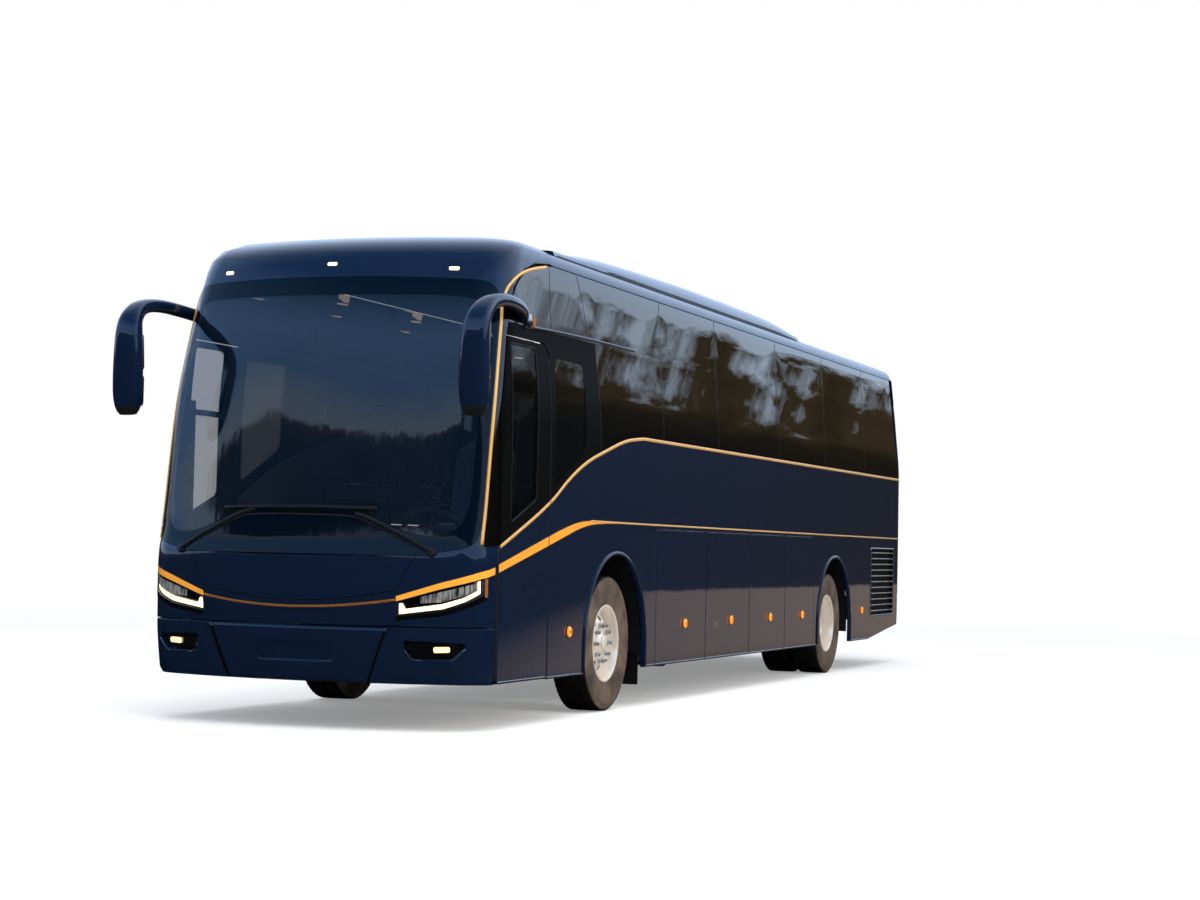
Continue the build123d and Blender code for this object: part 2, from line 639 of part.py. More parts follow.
# Floors, chassis and luggage deck
floor_bottom = SALOON_FLOOR - FLOOR_SHEET
floor_half = INSIDE - SEAT_GAP
saloon_floor = block(-floor_half, floor_half, SALOON_FRONT, REAR_SEAM, floor_bottom, SALOON_FLOOR)
cab_bottom = CAB_FLOOR - FLOOR_SHEET
cab_rear = SALOON_FRONT - SEAT_GAP
steps_start = FRONT_SEAM + STEP_START
steps_end = DOOR_REAR + STEP_END
cab_floor = block(-STEP_INNER, floor_half, FRONT_SEAM, cab_rear, cab_bottom, CAB_FLOOR)
cab_floor += block(-STEP_INNER - 10, STEP_INNER, CAB_NOSE, FRONT_SEAM, cab_bottom, CAB_FLOOR)
cab_floor += block(-floor_half, -STEP_INNER, steps_end, cab_rear, cab_bottom, CAB_FLOOR)
cab_floor += block(-floor_half, floor_half, SALOON_FRONT - FLOOR_SHEET, cab_rear, cab_bottom, SALOON_FLOOR)
tread = (INSIDE - STEP_INNER) / STEPS
step_rise = (CAB_FLOOR - STEP_FLOOR) / STEPS
for i in range(STEPS):
    x0 = -INSIDE + 20 + i * tread
    z0 = STEP_FLOOR + i * step_rise
    step_foot = z0 - FLOOR_SHEET
    cab_floor += block(x0, x0 + tread, steps_start, steps_end, step_foot, z0)
    cab_floor += block(x0 + tread - RISER, x0 + tread, steps_start, steps_end, step_foot, z0 + step_rise)
aisle_step = (CAB_FLOOR + SALOON_FLOOR) / 2
cab_floor += block(-AISLE_STEP_HALF, AISLE_STEP_HALF, SALOON_FRONT - AISLE_STEP, SALOON_FRONT - FLOOR_SHEET,
                   CAB_FLOOR, aisle_step)

LUGGAGE_FRONT = FRONT_AXLE + ARCH_RADIUS + 45
LUGGAGE_REAR = REAR_AXLE - ARCH_RADIUS - 35
deck_low = LUGGAGE_FLOOR - LUGGAGE_SHEET
deck_half = INSIDE - 10
luggage_deck = block(-deck_half, deck_half, LUGGAGE_FRONT, LUGGAGE_REAR, deck_low, LUGGAGE_FLOOR)
for d in (LUGGAGE_FRONT, LUGGAGE_REAR - BULKHEAD):
    luggage_deck += block(-deck_half, deck_half, d, d + BULKHEAD, deck_low, floor_bottom)
for seam in FLAP_SEAMS[1:-1]:
    for side in (1, -1):
        luggage_deck += block(side * (deck_half - DECK_POST), side * deck_half,
                              seam - DECK_POST / 2, seam + DECK_POST / 2, deck_low, floor_bottom)

rails = []
rail_low = cab_bottom - RAIL_FRONT_DEPTH
for side in (1, -1):
    rails.append(block(side * RAIL_INNER, side * RAIL_OUTER, RAIL_NOSE, LUGGAGE_FRONT, rail_low, cab_bottom))
for d in FRONT_CROSS_MEMBERS:
    rails.append(block(-RAIL_INNER, RAIL_INNER, d, d + CROSS_MEMBER, rail_low, cab_bottom))
rails.append(block(-STEP_INNER, STEP_INNER, SALOON_FRONT - FLOOR_SHEET, SALOON_FRONT - 1,
                   cab_bottom - STEP_FRAME_DEPTH, cab_bottom))
rails.append(block(-RAIL_OUTER, RAIL_OUTER, LUGGAGE_FRONT - 40, LUGGAGE_FRONT, cab_bottom, floor_bottom))
front_chassis = joined(rails)
rails = []
for side in (1, -1):
    rails.append(block(side * RAIL_INNER, side * RAIL_OUTER, LUGGAGE_REAR, RAIL_REAR_END,
                       floor_bottom - RAIL_REAR_DEPTH, floor_bottom))
for d in REAR_CROSS_MEMBERS:
    rails.append(block(-RAIL_INNER, RAIL_INNER, d, d + CROSS_MEMBER, floor_bottom - 100, floor_bottom))
rear_chassis = joined(rails)
engine = block(-RAIL_INNER + SEAT_GAP, RAIL_INNER - SEAT_GAP, ENGINE_FRONT, ENGINE_REAR, ENGINE_BOTTOM,
               floor_bottom - ENGINE_COVER_GAP)
engine += block(-GEARBOX_HALF, GEARBOX_HALF, ENGINE_FRONT - GEARBOX_LENGTH, ENGINE_FRONT, ENGINE_BOTTOM + 40,
                ENGINE_BOTTOM + 40 + GEARBOX_HEIGHT)

# Front axle, knuckles and wheels
# the beam drops between its two ends
beam_half = [(BEAM_DROP_TO, BEAM_DROP_FOOT), (BEAM_DROP_FROM, BEAM_FOOT), (KINGPIN_X, BEAM_FOOT),
             (KINGPIN_X, BEAM_TOP), (BEAM_DROP_FROM, BEAM_TOP), (BEAM_DROP_TO, BEAM_DROP_TOP)]
beam_points = beam_half + [(-x, z) for x, z in reversed(beam_half)]
front_axle = front_prism(beam_points, FRONT_AXLE - BEAM_HALF, FRONT_AXLE + BEAM_HALF)
for side in (1, -1):
    front_axle += post(side * KINGPIN_X, FRONT_AXLE, BEAM_FOOT, BEAM_TOP, EYE_RADIUS)
    front_axle -= post(side * KINGPIN_X, FRONT_AXLE, BEAM_FOOT - 1, BEAM_TOP + 1, PIN_RADIUS + RUNNING_FIT)
    front_axle += post(side * SPRING_X, FRONT_AXLE, SPRING_PAD_FOOT, SPRING_PAD_TOP, SPRING_RADIUS)


def knuckle(side):
    # a fork on the kingpin, with its spindle outwards and its steering arm to the rear
    x = side * KINGPIN_X
    spindle_ends = sorted((x + side * SPINDLE_START, side * (TRACK_FRONT / 2 + HUB_STAND - HUB_CAP - 2)))
    top = BEAM_TOP + LUG_REACH
    foot = BEAM_FOOT - LUG_REACH
    web_inner = x + side * (EYE_RADIUS + 8)
    fork = block(web_inner, web_inner + side * FORK_PLATE, FRONT_AXLE - FORK_HALF, FRONT_AXLE + FORK_HALF,
                 foot, top)
    for low, high in ((BEAM_TOP + RUNNING_FIT, top), (foot, BEAM_FOOT - RUNNING_FIT)):
        fork += post(x, FRONT_AXLE, low, high, EYE_RADIUS)
        fork += block(x, web_inner + side * 2, FRONT_AXLE - BEAM_HALF, FRONT_AXLE + BEAM_HALF, low, high)
    pin = post(x, FRONT_AXLE, foot, top, PIN_RADIUS)
    spindle = tube_x(*spindle_ends, FRONT_AXLE, AXLE_HEIGHT, SPINDLE_RADIUS)
    arm = block(x - STEERING_ARM_WIDTH / 2, x + STEERING_ARM_WIDTH / 2, FRONT_AXLE + BEAM_HALF - 5,
                FRONT_AXLE + STEERING_ARM, foot, foot + STEERING_ARM_HEIGHT)
    return fork + pin + spindle + arm


def collar(x0, x1, inner, outer_radius, distance):
    # a round collar about an axle, between two places across the coach
    section = Polyline((x0, inner), (x1, inner), (x1, outer_radius), (x0, outer_radius), close=True)
    return Pos(0, at(distance), AXLE_HEIGHT) * revolve(make_face(section), axis=Axis.X)


def tyre(centre_x, distance):
    half = TYRE_WIDTH / 2
    return collar(centre_x - half, centre_x + half, RIM_RADIUS + SEAT_GAP, TYRE_RADIUS, distance)


def rim(centre_x, distance, disc_offset, hub_from, hub_to):
    # barrel, disc with hand holes, and the hub that runs on the spindle
    half = TYRE_WIDTH / 2 - RIM_LIP
    disc_x = centre_x + disc_offset
    bore = SPINDLE_RADIUS + RUNNING_FIT
    barrel = collar(centre_x - half, centre_x + half, RIM_RADIUS - RIM_WALL, RIM_RADIUS, distance)
    disc = collar(disc_x - DISC_HALF, disc_x + DISC_HALF, bore, RIM_RADIUS - RIM_WALL / 2, distance)
    face = Plane(origin=(disc_x, at(distance), AXLE_HEIGHT), z_dir=(1, 0, 0))
    holes = PolarLocations(HAND_HOLE_CIRCLE, HAND_HOLES) * RegularPolygon(HAND_HOLE_RADIUS, HAND_HOLE_SIDES)
    disc -= face * extrude(Sketch() + holes, amount=2 * DISC_HALF, both=True)
    return barrel + disc + collar(hub_from, hub_to, bore, HUB_RADIUS, distance)


wheel_front = TRACK_FRONT / 2
wheel_rear_outer = TRACK_REAR_OUTER / 2
wheel_rear_inner = wheel_rear_outer - TWIN_SPACING
front_tyre = tyre(wheel_front, FRONT_AXLE)
front_hub_end = wheel_front + HUB_STAND
front_hub_start = KINGPIN_X + EYE_RADIUS + FORK_HALF
front_rim = rim(wheel_front, FRONT_AXLE, DISC_OFFSET, front_hub_start, front_hub_end)
front_rim += tube_x(front_hub_end - HUB_CAP, front_hub_end, FRONT_AXLE, AXLE_HEIGHT, HUB_RADIUS)
rear_tyres = Compound(children=[tyre(wheel_rear_outer, REAR_AXLE), tyre(wheel_rear_inner, REAR_AXLE)])
rear_hub_end = wheel_rear_outer + REAR_HUB_STAND
rear_cap_start = rear_hub_end - REAR_HUB_CAP
rear_rim = rim(wheel_rear_outer, REAR_AXLE, -DISC_OFFSET, wheel_rear_inner - REAR_HUB_STAND, rear_hub_end)
rear_rim += rim(wheel_rear_inner, REAR_AXLE, DISC_OFFSET, wheel_rear_inner, wheel_rear_outer)
rear_rim += tube_x(rear_cap_start, rear_hub_end, REAR_AXLE, AXLE_HEIGHT, HUB_RADIUS)
housing_end = wheel_rear_inner - REAR_HUB_STAND - 10
rear_axle = tube_x(-housing_end, housing_end, REAR_AXLE, AXLE_HEIGHT, REAR_TUBE_RADIUS)
rear_axle += tube_x(-rear_cap_start + 2, rear_cap_start - 2, REAR_AXLE, AXLE_HEIGHT, SPINDLE_RADIUS)
rear_axle += tube_x(-DIFFERENTIAL_HALF, DIFFERENTIAL_HALF, REAR_AXLE, AXLE_HEIGHT, DIFFERENTIAL_RADIUS)
spring_places = []
for side in (1, -1):
    rear_axle += block(side * (SPRING_X - SPRING_BEAM_HALF), side * (SPRING_X + SPRING_BEAM_HALF),
                       REAR_AXLE - SPRING_BEAM_LENGTH, REAR_AXLE + SPRING_BEAM_LENGTH,
                       AXLE_HEIGHT - 10 - SPRING_BEAM_HEIGHT, AXLE_HEIGHT - 10)
    spring_places.append((side * SPRING_X, FRONT_AXLE, rail_low))
    for d in (REAR_AXLE - REAR_SPRINGS, REAR_AXLE + REAR_SPRINGS):
        rear_axle += post(side * SPRING_X, d, SPRING_PAD_FOOT, SPRING_PAD_TOP, SPRING_RADIUS)
        spring_places.append((side * SPRING_X, d, floor_bottom - RAIL_REAR_DEPTH))
springs = [post(x, d, SPRING_PAD_TOP + SEAT_GAP, high - SEAT_GAP, SPRING_RADIUS)
           for x, d, high in spring_places]

# Mirrors: one swept form from its root above the door, forward and down into the head
mirror_centres = [Vector(x, at(d), z) for x, d, z, _, _ in MIRROR_ROWS]
mirror_sections = []
for i, (centre, row) in enumerate(zip(mirror_centres, MIRROR_ROWS)):
    before = mirror_centres[max(i - 1, 0)]
    after = mirror_centres[min(i + 1, len(MIRROR_ROWS) - 1)]
    along = (after - before).normalized()
    sideways = (Vector(1, 0, 0) - along * along.X).normalized()
    half_wide, half_deep = row[3:]
    outline = RectangleRounded(2 * half_wide, 2 * half_deep, MIRROR_ROUNDING * min(half_wide, half_deep))
    mirror_sections.append(Plane(origin=centre, x_dir=sideways, z_dir=along) * outline)
mirror_left = loft(mirror_sections, ruled=True) - body_form(-SEAT_GAP)
mirrors = Compound(children=[mirror_left, mirrored(mirror_left)])

# Wipers lie on the foot of the windscreen
wiper_layer = body_form(-TRIM_HEIGHT) - body_form(-SEAT_GAP)
wipers = Compound(children=[
    wiper_layer & front_prism(points, AHEAD, FRONT_SEAM) for points in (WIPER_LONG, WIPER_SHORT)])

# Cab fittings
dashboard_foot = CAB_FLOOR + SEAT_GAP
dashboard = side_prism([(DASHBOARD[0][0], dashboard_foot)] + DASHBOARD + [(DASHBOARD_FOOT, dashboard_foot)],
                       DASHBOARD_RIGHT, DASHBOARD_LEFT)
tilt = (0, *COLUMN_TILT)
column_foot = Plane(origin=(WHEEL_X, at(WHEEL_DISTANCE), WHEEL_BASE), x_dir=(1, 0, 0), z_dir=tilt)
wheel_plane = Plane(origin=(WHEEL_X, at(WHEEL_DISTANCE) + COLUMN_TILT[0] * COLUMN_LENGTH,
                            WHEEL_BASE + COLUMN_TILT[1] * COLUMN_LENGTH), x_dir=(1, 0, 0), z_dir=tilt)
grip = Cylinder(WHEEL_RADIUS, WHEEL_GRIP) - Cylinder(WHEEL_RADIUS - WHEEL_GRIP, WHEEL_GRIP)
spoke = Box(2 * WHEEL_RADIUS - WHEEL_GRIP, *SPOKE)
steering_wheel = column_foot * extrude(Circle(COLUMN_RADIUS), amount=COLUMN_LENGTH)
steering_wheel += wheel_plane * (grip + spoke + Cylinder(*WHEEL_PAD))
steering_wheel -= dashboard


def seat(x0, x1, distance, floor):
    cushion = side_prism([(distance + d, floor + z) for d, z in SEAT_PROFILE], x0, x1)
    base_front, base_rear, base_top = SEAT_BASE
    return cushion + block(x0 + SEAT_BASE_INSET, x1 - SEAT_BASE_INSET, distance + base_front,
                           distance + base_rear, floor + SEAT_GAP, floor + base_top)


driver_seat = seat(WHEEL_X - DRIVER_SEAT_HALF, WHEEL_X + DRIVER_SEAT_HALF, DRIVER_SEAT_FRONT, CAB_FLOOR)
passenger_seats = Compound(children=[
    seat(x0, x1, SEATS_FRONT + i * SEAT_PITCH, SALOON_FLOOR) for i in range(SEAT_ROWS) for x0, x1 in BENCHES])
rack_foot = half_width_at(RACK_FOOT) - WALL - RACK_GAP
rack_head = half_width_at(RACK_HEAD) - WALL - RACK_GAP
rack_wall = [(rack_foot - RACK_SHEET, RACK_FOOT + 2 * RACK_SHEET), (rack_head - RACK_SHEET, RACK_HEAD),
             (rack_head, RACK_HEAD)]
rack = front_prism([(rack_foot, RACK_FOOT)] + RACK_LIP + rack_wall, RACK_FRONT, RACK_REAR)
luggage_racks = Compound(children=[rack, mirrored(rack)])

mud_flap = block(MUD_FLAP_INNER, MUD_FLAP_OUTER, LUGGAGE_FRONT - 8 - SEAT_GAP, LUGGAGE_FRONT - SEAT_GAP,
                 MUD_FLAP_FOOT, MUD_FLAP_TOP)


pieces = {
    "front_cap": front_cap, "windscreen": windscreen, "front_bumper": front_bumper,
    "front_lamps": front_lamps,
    "side_wall_left": wall, "side_wall_right": mirrored(wall),
    "side_glass_left": glass_zone, "side_glass_right": mirrored(glass_zone),
    "driver_door": door, "driver_door_glass": door_glass,
    "front_door": front_door, "front_door_post": front_door_post, "front_door_glass": mirrored(door_glass),
    "side_grilles": Compound(children=[grille, mirrored(grille)]),
    "roof": roof, "roof_fairings": roof_fairings, "roof_cooler": cooler,
    "rear_cap": rear_cap, "rear_window": rear_window, "rear_bumper": rear_bumper, "tail_lamps": tail_lamps,
    "engine_lid": engine_lid, "saloon_floor": saloon_floor, "cab_floor": cab_floor,
    "luggage_deck": luggage_deck,
    "front_chassis": front_chassis, "rear_chassis": rear_chassis, "engine": engine,
    "front_axle": front_axle, "knuckle_left": knuckle(1), "knuckle_right": knuckle(-1),
    "front_tyre_left": front_tyre, "front_tyre_right": mirrored(front_tyre),
    "front_rim_left": front_rim, "front_rim_right": mirrored(front_rim),
    "rear_tyres_left": rear_tyres, "rear_tyres_right": mirrored(rear_tyres),
    "rear_rims_left": rear_rim, "rear_rims_right": mirrored(rear_rim),
    "rear_axle": rear_axle, "air_springs": Compound(children=springs), "mirrors": mirrors, "wipers": wipers,
    "dashboard": dashboard, "steering_wheel": steering_wheel, "driver_seat": driver_seat,
    "passenger_seats": passenger_seats, "luggage_racks": luggage_racks,
    "mud_flaps": Compound(children=[mud_flap, mirrored(mud_flap)]),
    "roof_hatch_front": hatches[0], "roof_hatch_rear": hatches[1],
}
for i, flap in enumerate(flaps):
    pieces["flap_left_" + str(i + 1)] = flap
    pieces["flap_right_" + str(i + 1)] = mirrored(flap)
for name, piece in pieces.items():
    save(name, piece)
print(len(pieces), "nodes")
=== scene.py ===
import bpy
import json
import math
import numpy as np
from mathutils import Matrix, Vector
from mathutils.geometry import delaunay_2d_cdt

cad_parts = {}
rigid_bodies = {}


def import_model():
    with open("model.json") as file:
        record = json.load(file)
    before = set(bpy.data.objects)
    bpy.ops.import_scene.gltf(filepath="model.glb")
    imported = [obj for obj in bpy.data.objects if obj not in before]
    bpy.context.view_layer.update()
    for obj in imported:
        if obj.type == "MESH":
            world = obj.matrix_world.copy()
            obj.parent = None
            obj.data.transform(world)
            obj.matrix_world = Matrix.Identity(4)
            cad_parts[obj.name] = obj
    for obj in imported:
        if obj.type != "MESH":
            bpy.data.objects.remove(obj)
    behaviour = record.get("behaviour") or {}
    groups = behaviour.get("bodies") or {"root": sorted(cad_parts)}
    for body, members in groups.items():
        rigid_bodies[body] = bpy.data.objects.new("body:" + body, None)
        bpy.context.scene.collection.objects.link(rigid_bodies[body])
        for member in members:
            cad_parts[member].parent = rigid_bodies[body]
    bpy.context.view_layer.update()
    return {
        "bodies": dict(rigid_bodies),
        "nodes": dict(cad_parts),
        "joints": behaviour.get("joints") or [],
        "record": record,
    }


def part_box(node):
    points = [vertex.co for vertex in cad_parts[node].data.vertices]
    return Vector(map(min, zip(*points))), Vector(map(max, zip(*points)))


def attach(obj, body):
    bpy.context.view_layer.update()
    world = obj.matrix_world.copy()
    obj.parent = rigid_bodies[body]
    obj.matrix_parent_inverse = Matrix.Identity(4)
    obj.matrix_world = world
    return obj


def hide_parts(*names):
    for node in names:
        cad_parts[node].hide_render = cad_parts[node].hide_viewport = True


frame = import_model()

# All sizes are metres in the frame: +X is the coach's left, the front faces -Y and the ground is at 0.
# Places along the coach are distances behind the nose; s is the length along the side from sill to crown.

# The body's main dimensions
coach = {
    "length": 13.115,
    "halfWidth": 1.275,
    "bow": 2.8,
    "corner": 0.30,
    "rearBow": 9.0,
    "rearCorner": 0.18,
    "sill": 0.31,
    "belt": 2.135,
    "bandTop": 3.285,
    "frontAxle": 2.96,
    "rearAxle": 9.86,
    "archRadius": 0.695,
    "archCentre": 0.51,
}
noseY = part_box("front_cap")[0].y

# Rows of the body's form: height, half width, front setback, rear set-in
bodyRows = [
    (0.310, 1.275, 0.070, 0.060),
    (0.700, 1.275, 0.010, 0.000),
    (1.150, 1.275, 0.000, 0.000),
    (1.250, 1.275, 0.025, 0.000),
    (2.135, 1.275, 0.175, 0.020),
    (2.700, 1.237, 0.300, 0.060),
    (3.050, 1.214, 0.420, 0.100),
    (3.300, 1.197, 0.560, 0.175),
    (3.370, 1.165, 0.680, 0.230),
    (3.420, 1.090, 0.850, 0.320),
    (3.460, 0.900, 1.150, 0.480),
    (3.500, 0.560, 1.500, 0.750),
    (3.520, 0.200, 1.900, 1.100),
]
crownHalfWidth = bodyRows[-1][1]

# Lower edge of the glass band as (distance, height)
beltLine = [(0.56, 1.245), (1.48, 1.555), (1.866, 1.758), (2.263, 1.906), (2.683, 2.003), (3.12, 2.103),
            (3.55, 2.135), (12.84, 2.135)]


# Curves and outlines

def smoothCurve(xs, ys):
    # a smooth curve through the rows that never overshoots them
    xs, ys = np.array(xs, float), np.array(ys, float)
    gaps = np.diff(xs)
    slopes = np.diff(ys) / gaps
    tangents = np.zeros(len(xs))
    tangents[0], tangents[-1] = slopes[0], slopes[-1]
    for i in range(1, len(xs) - 1):
        if slopes[i - 1] * slopes[i] > 0:
            before = 2 * gaps[i] + gaps[i - 1]
            after = gaps[i] + 2 * gaps[i - 1]
            tangents[i] = (before + after) / (before / slopes[i - 1] + after / slopes[i])

    def value(x):
        x = np.clip(np.asarray(x, float), xs[0], xs[-1])
        i = np.clip(np.searchsorted(xs, x, side="right") - 1, 0, len(xs) - 2)
        u = (x - xs[i]) / gaps[i]
        a = (1 + 2 * u) * (1 - u) ** 2 * ys[i] + u * (1 - u) ** 2 * gaps[i] * tangents[i]
        b = u * u * (3 - 2 * u) * ys[i + 1] + u * u * (u - 1) * gaps[i] * tangents[i + 1]
        return a + b

    return value


rowsArray = np.array(bodyRows)
rowSteps = np.hypot(np.diff(rowsArray[:, 0]), np.diff(rowsArray[:, 1]))
rowLengths = np.concatenate([[0], np.cumsum(rowSteps)])
heightOf = smoothCurve(rowLengths, rowsArray[:, 0])
widthOf = smoothCurve(rowLengths, rowsArray[:, 1])
setbackOf = smoothCurve(rowLengths, rowsArray[:, 2])
setInOf = smoothCurve(rowLengths, rowsArray[:, 3])
crownS = rowLengths[-1]
fineS = np.linspace(0, crownS, 4000)
fineZ = heightOf(fineS)


def sAt(height):
    return np.interp(height, fineZ, fineS)


def beltAt(distance):
    return np.interp(distance, [p[0] for p in beltLine], [p[1] for p in beltLine])


def softened(points, rounds=3):
    # corners cut again and again, which turns a rough line into a soft one with the same ends
    points = [np.array(p, float) for p in points]
    for _ in range(rounds):
        cut = []
        for a, b in zip(points, points[1:]):
            cut += [a * 0.75 + b * 0.25, a * 0.25 + b * 0.75]
        points = [points[0]] + cut[1:-1] + [points[-1]]
    return [tuple(p) for p in points]


def roundedOutline(points, radius, steps=5):
    # a closed outline with each corner turned into an arc of about that radius
    result = []
    count = len(points)
    for i in range(count):
        before, here, after = (np.array(points[(i + k) % count], float) for k in (-1, 0, 1))
        inward, onward = before - here, after - here
        reach = min(radius, 0.45 * np.linalg.norm(inward), 0.45 * np.linalg.norm(onward))
        start = here + inward / np.linalg.norm(inward) * reach
        end = here + onward / np.linalg.norm(onward) * reach
        for k in range(steps + 1):
            u = k / steps
            result.append(tuple((1 - u) ** 2 * start + 2 * u * (1 - u) * here + u * u * end))
    return result


def finePath(points, step, closed):
    # the same line with no stretch longer than step
    points = [np.array(p, float) for p in points]
    ends = points[1:] + ([points[0]] if closed else [])
    result = []
    for a, b in zip(points, ends):
        count = max(1, int(math.ceil(np.linalg.norm(b - a) / step)))
        result += [a + (b - a) * k / count for k in range(count)]
    if not closed:
        result.append(points[-1])
    kept = [result[0]]
    for p in result[1:]:
        if np.linalg.norm(p - kept[-1]) > 1e-4:
            kept.append(p)
    if closed and np.linalg.norm(kept[0] - kept[-1]) < 1e-4:
        kept.pop()
    return np.array(kept)


def toS(points):
    # (place, height) points as (place, length up the side)
    return [(p[0], sAt(p[1])) for p in points]


def mirroredPoints(points):
    return [(-p[0], p[1]) for p in reversed(points)]


def pill(u, v, halfWide, halfHigh, radius):
    # a small rounded plate about a middle
    return toS(roundedOutline(box(u - halfWide, u + halfWide, v - halfHigh, v + halfHigh), radius))


def bothSides(points):
    # an outline of the left half, from its bottom middle to its top middle, closed by its mirror image
    return list(points) + mirroredPoints(points)


def box(u0, u1, v0, v1):
    return [(u0, v0), (u1, v0), (u1, v1), (u0, v1)]


def archLine(axle, radius, foot, steps=28):
    # over a wheel from its front foot to its rear foot
    turns = [math.pi * k / steps for k in range(steps + 1)]
    arc = [(axle - radius * math.cos(a), coach["archCentre"] + radius * math.sin(a)) for a in turns]
    return [(axle - radius, foot)] + arc + [(axle + radius, foot)]


# The body's surface, reached in four ways

def planEnd(s, rear):
    # one end of the plan section at s: setback and radius of the bow, then the corner's radius, the x of its
    # centre, the angle where bow and corner meet and how far behind the end the centre lies
    if rear:
        setback, bow, corner = setInOf(s), coach["rearBow"], coach["rearCorner"]
    else:
        setback, bow, corner = setbackOf(s), coach["bow"], coach["corner"]
    width = widthOf(s)
    radius = np.minimum(corner, 0.45 * width)
    cornerX = width - radius
    angle = np.arcsin(cornerX / (bow - radius))
    centre = setback + bow - (bow - radius) * np.cos(angle)
    return setback, bow, radius, cornerX, angle, centre


def sideX(distance, s):
    _, _, radius, cornerX, _, centre = planEnd(s, False)
    ahead = np.clip(centre - distance, 0, radius * 0.999)
    front = cornerX + np.sqrt(radius ** 2 - ahead ** 2)
    _, _, radius, cornerX, _, centre = planEnd(s, True)
    behind = np.clip(distance - (coach["length"] - centre), 0, radius * 0.999)
    return np.minimum(front, cornerX + np.sqrt(radius ** 2 - behind ** 2))


def sideMap(side):
    # first coordinate: distance; second, as on the ends: length up the side
    def place(uv):
        x = side * sideX(uv[:, 0], uv[:, 1])
        return np.stack([x, noseY + uv[:, 0], heightOf(uv[:, 1])], 1)
    return place, side


def endMap(rear):
    # first coordinate: length round the end from the middle, positive to the coach's left
    def place(uv):
        t, s = np.abs(uv[:, 0]), uv[:, 1]
        back, bow, radius, cornerX, angle, centre = planEnd(s, rear)
        onBow = t < bow * angle
        round1 = np.minimum(t, bow * angle) / bow
        turn = np.minimum(angle + np.maximum(t - bow * angle, 0) / radius, math.pi / 2)
        beyond = np.maximum(t - bow * angle - radius * (math.pi / 2 - angle), 0)
        x = np.where(onBow, bow * np.sin(round1), cornerX + radius * np.sin(turn))
        depth = np.where(onBow, back + bow - bow * np.cos(round1), centre - radius * np.cos(turn)) + beyond
        y = noseY + (coach["length"] - depth if rear else depth)
        return np.stack([np.sign(uv[:, 0]) * x, y, heightOf(s)], 1)
    return place, -1 if rear else 1


def roundAt(distance, s, rear=False):
    # the endMap coordinate of the point at a distance from that end's face, on the left side
    back, bow, radius, _, angle, centre = (float(v) for v in planEnd(s, rear))
    if distance >= centre:
        return bow * angle + radius * (math.pi / 2 - angle) + distance - centre
    if distance >= centre - radius * math.cos(angle):
        return bow * angle + radius * (math.acos((centre - distance) / radius) - angle)
    return bow * math.acos(np.clip((back + bow - distance) / bow, -1, 1))


def insidePlan(x, distance, s):
    # which points lie within the plan section at s
    x = np.abs(x)
    result = x <= widthOf(s)
    for place, rear in ((distance, False), (coach["length"] - distance, True)):
        setback, bow, radius, cornerX, angle, centre = planEnd(s, rear)
        byCorner = np.hypot(np.maximum(x - cornerX, 0), np.maximum(centre - place, 0)) <= radius
        byBow = np.hypot(x, setback + bow - place) <= bow
        onBow = np.arctan2(x, setback + bow - place) < angle
        result &= np.where(place < centre, np.where(onBow, byBow, (x <= cornerX) | byCorner), True)
    return result


def roofHeight(x, distance):
    # the highest s whose plan section still holds the point, found by halving
    low, high = np.full(len(x), sAt(2.9)), np.full(len(x), crownS)
    for _ in range(24):
        middle = (low + high) / 2
        within = insidePlan(x, distance, middle)
        low, high = np.where(within, middle, low), np.where(within, high, middle)
    return heightOf(low)


def roofMap():
    # first coordinate: length round the roof from its middle line; second: distance
    def place(uv):
        p = np.abs(uv[:, 0])
        x = np.where(p < crownHalfWidth, p, widthOf(crownS - np.maximum(p - crownHalfWidth, 0)))
        x = np.sign(uv[:, 0]) * x
        return np.stack([x, noseY + uv[:, 1], roofHeight(x * 0.9999, uv[:, 1])], 1)
    return place, 1


def roofP(x):
    # the roofMap coordinate of a place at x, for x above the crown's half width
    sides = np.linspace(sAt(3.2), crownS, 600)
    s = np.interp(-x, -widthOf(sides), sides)
    return crownHalfWidth + crownS - s


# Meshes

panel = {
    "normalReach": 0.002,   # half the stretch over which the surface's slope is taken
    "reliefReach": 0.004,   # and the same for pressed-in forms
    "rimLimit": 0.004,      # widest rounding at a panel's rim
    "rimDrop": 0.7,         # share of the rounding by which the rim sinks
}
# the coach's left is at +X
hands = ((1, "Left"), (-1, "Right"))


def makeObject(name, points, faces, materials, body="coach_body", faceMaterials=None, normals=None, smooth=True,
               hides=()):
    mesh = bpy.data.meshes.new(name)
    mesh.from_pydata([tuple(p) for p in points], [], [list(map(int, f)) for f in faces])
    for material in materials:
        mesh.materials.append(material)
    if faceMaterials is not None:
        mesh.polygons.foreach_set("material_index", np.array(faceMaterials, np.int32))
    mesh.polygons.foreach_set("use_smooth", np.full(len(faces), smooth))
    mesh.update()
    if normals is not None:
        mesh.normals_split_custom_set([tuple(n) for n in normals])
    made = bpy.data.objects.new(name, mesh)
    bpy.context.scene.collection.objects.link(made)
    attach(made, body)
    for node in hides:
        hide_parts(node)
    # the slots behind the piece's materials are looked up, a pane's glass before its border, and nothing is done with
    # them
    slots = [finishSlots[material.name] for material in materials if material.name in finishSlots]
    for slot in ([s for s in slots if s.endswith("glass")] or slots)[:1]:
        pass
    return made


def insideLoop(points, loop):
    x, y = points[:, 0], points[:, 1]
    result = np.zeros(len(points), bool)
    for (x0, y0), (x1, y1) in zip(loop, np.roll(loop, -1, axis=0)):
        crossing = (y0 > y) != (y1 > y)
        if y0 != y1:
            result ^= crossing & (x < x0 + (y - y0) * (x1 - x0) / (y1 - y0))
    return result


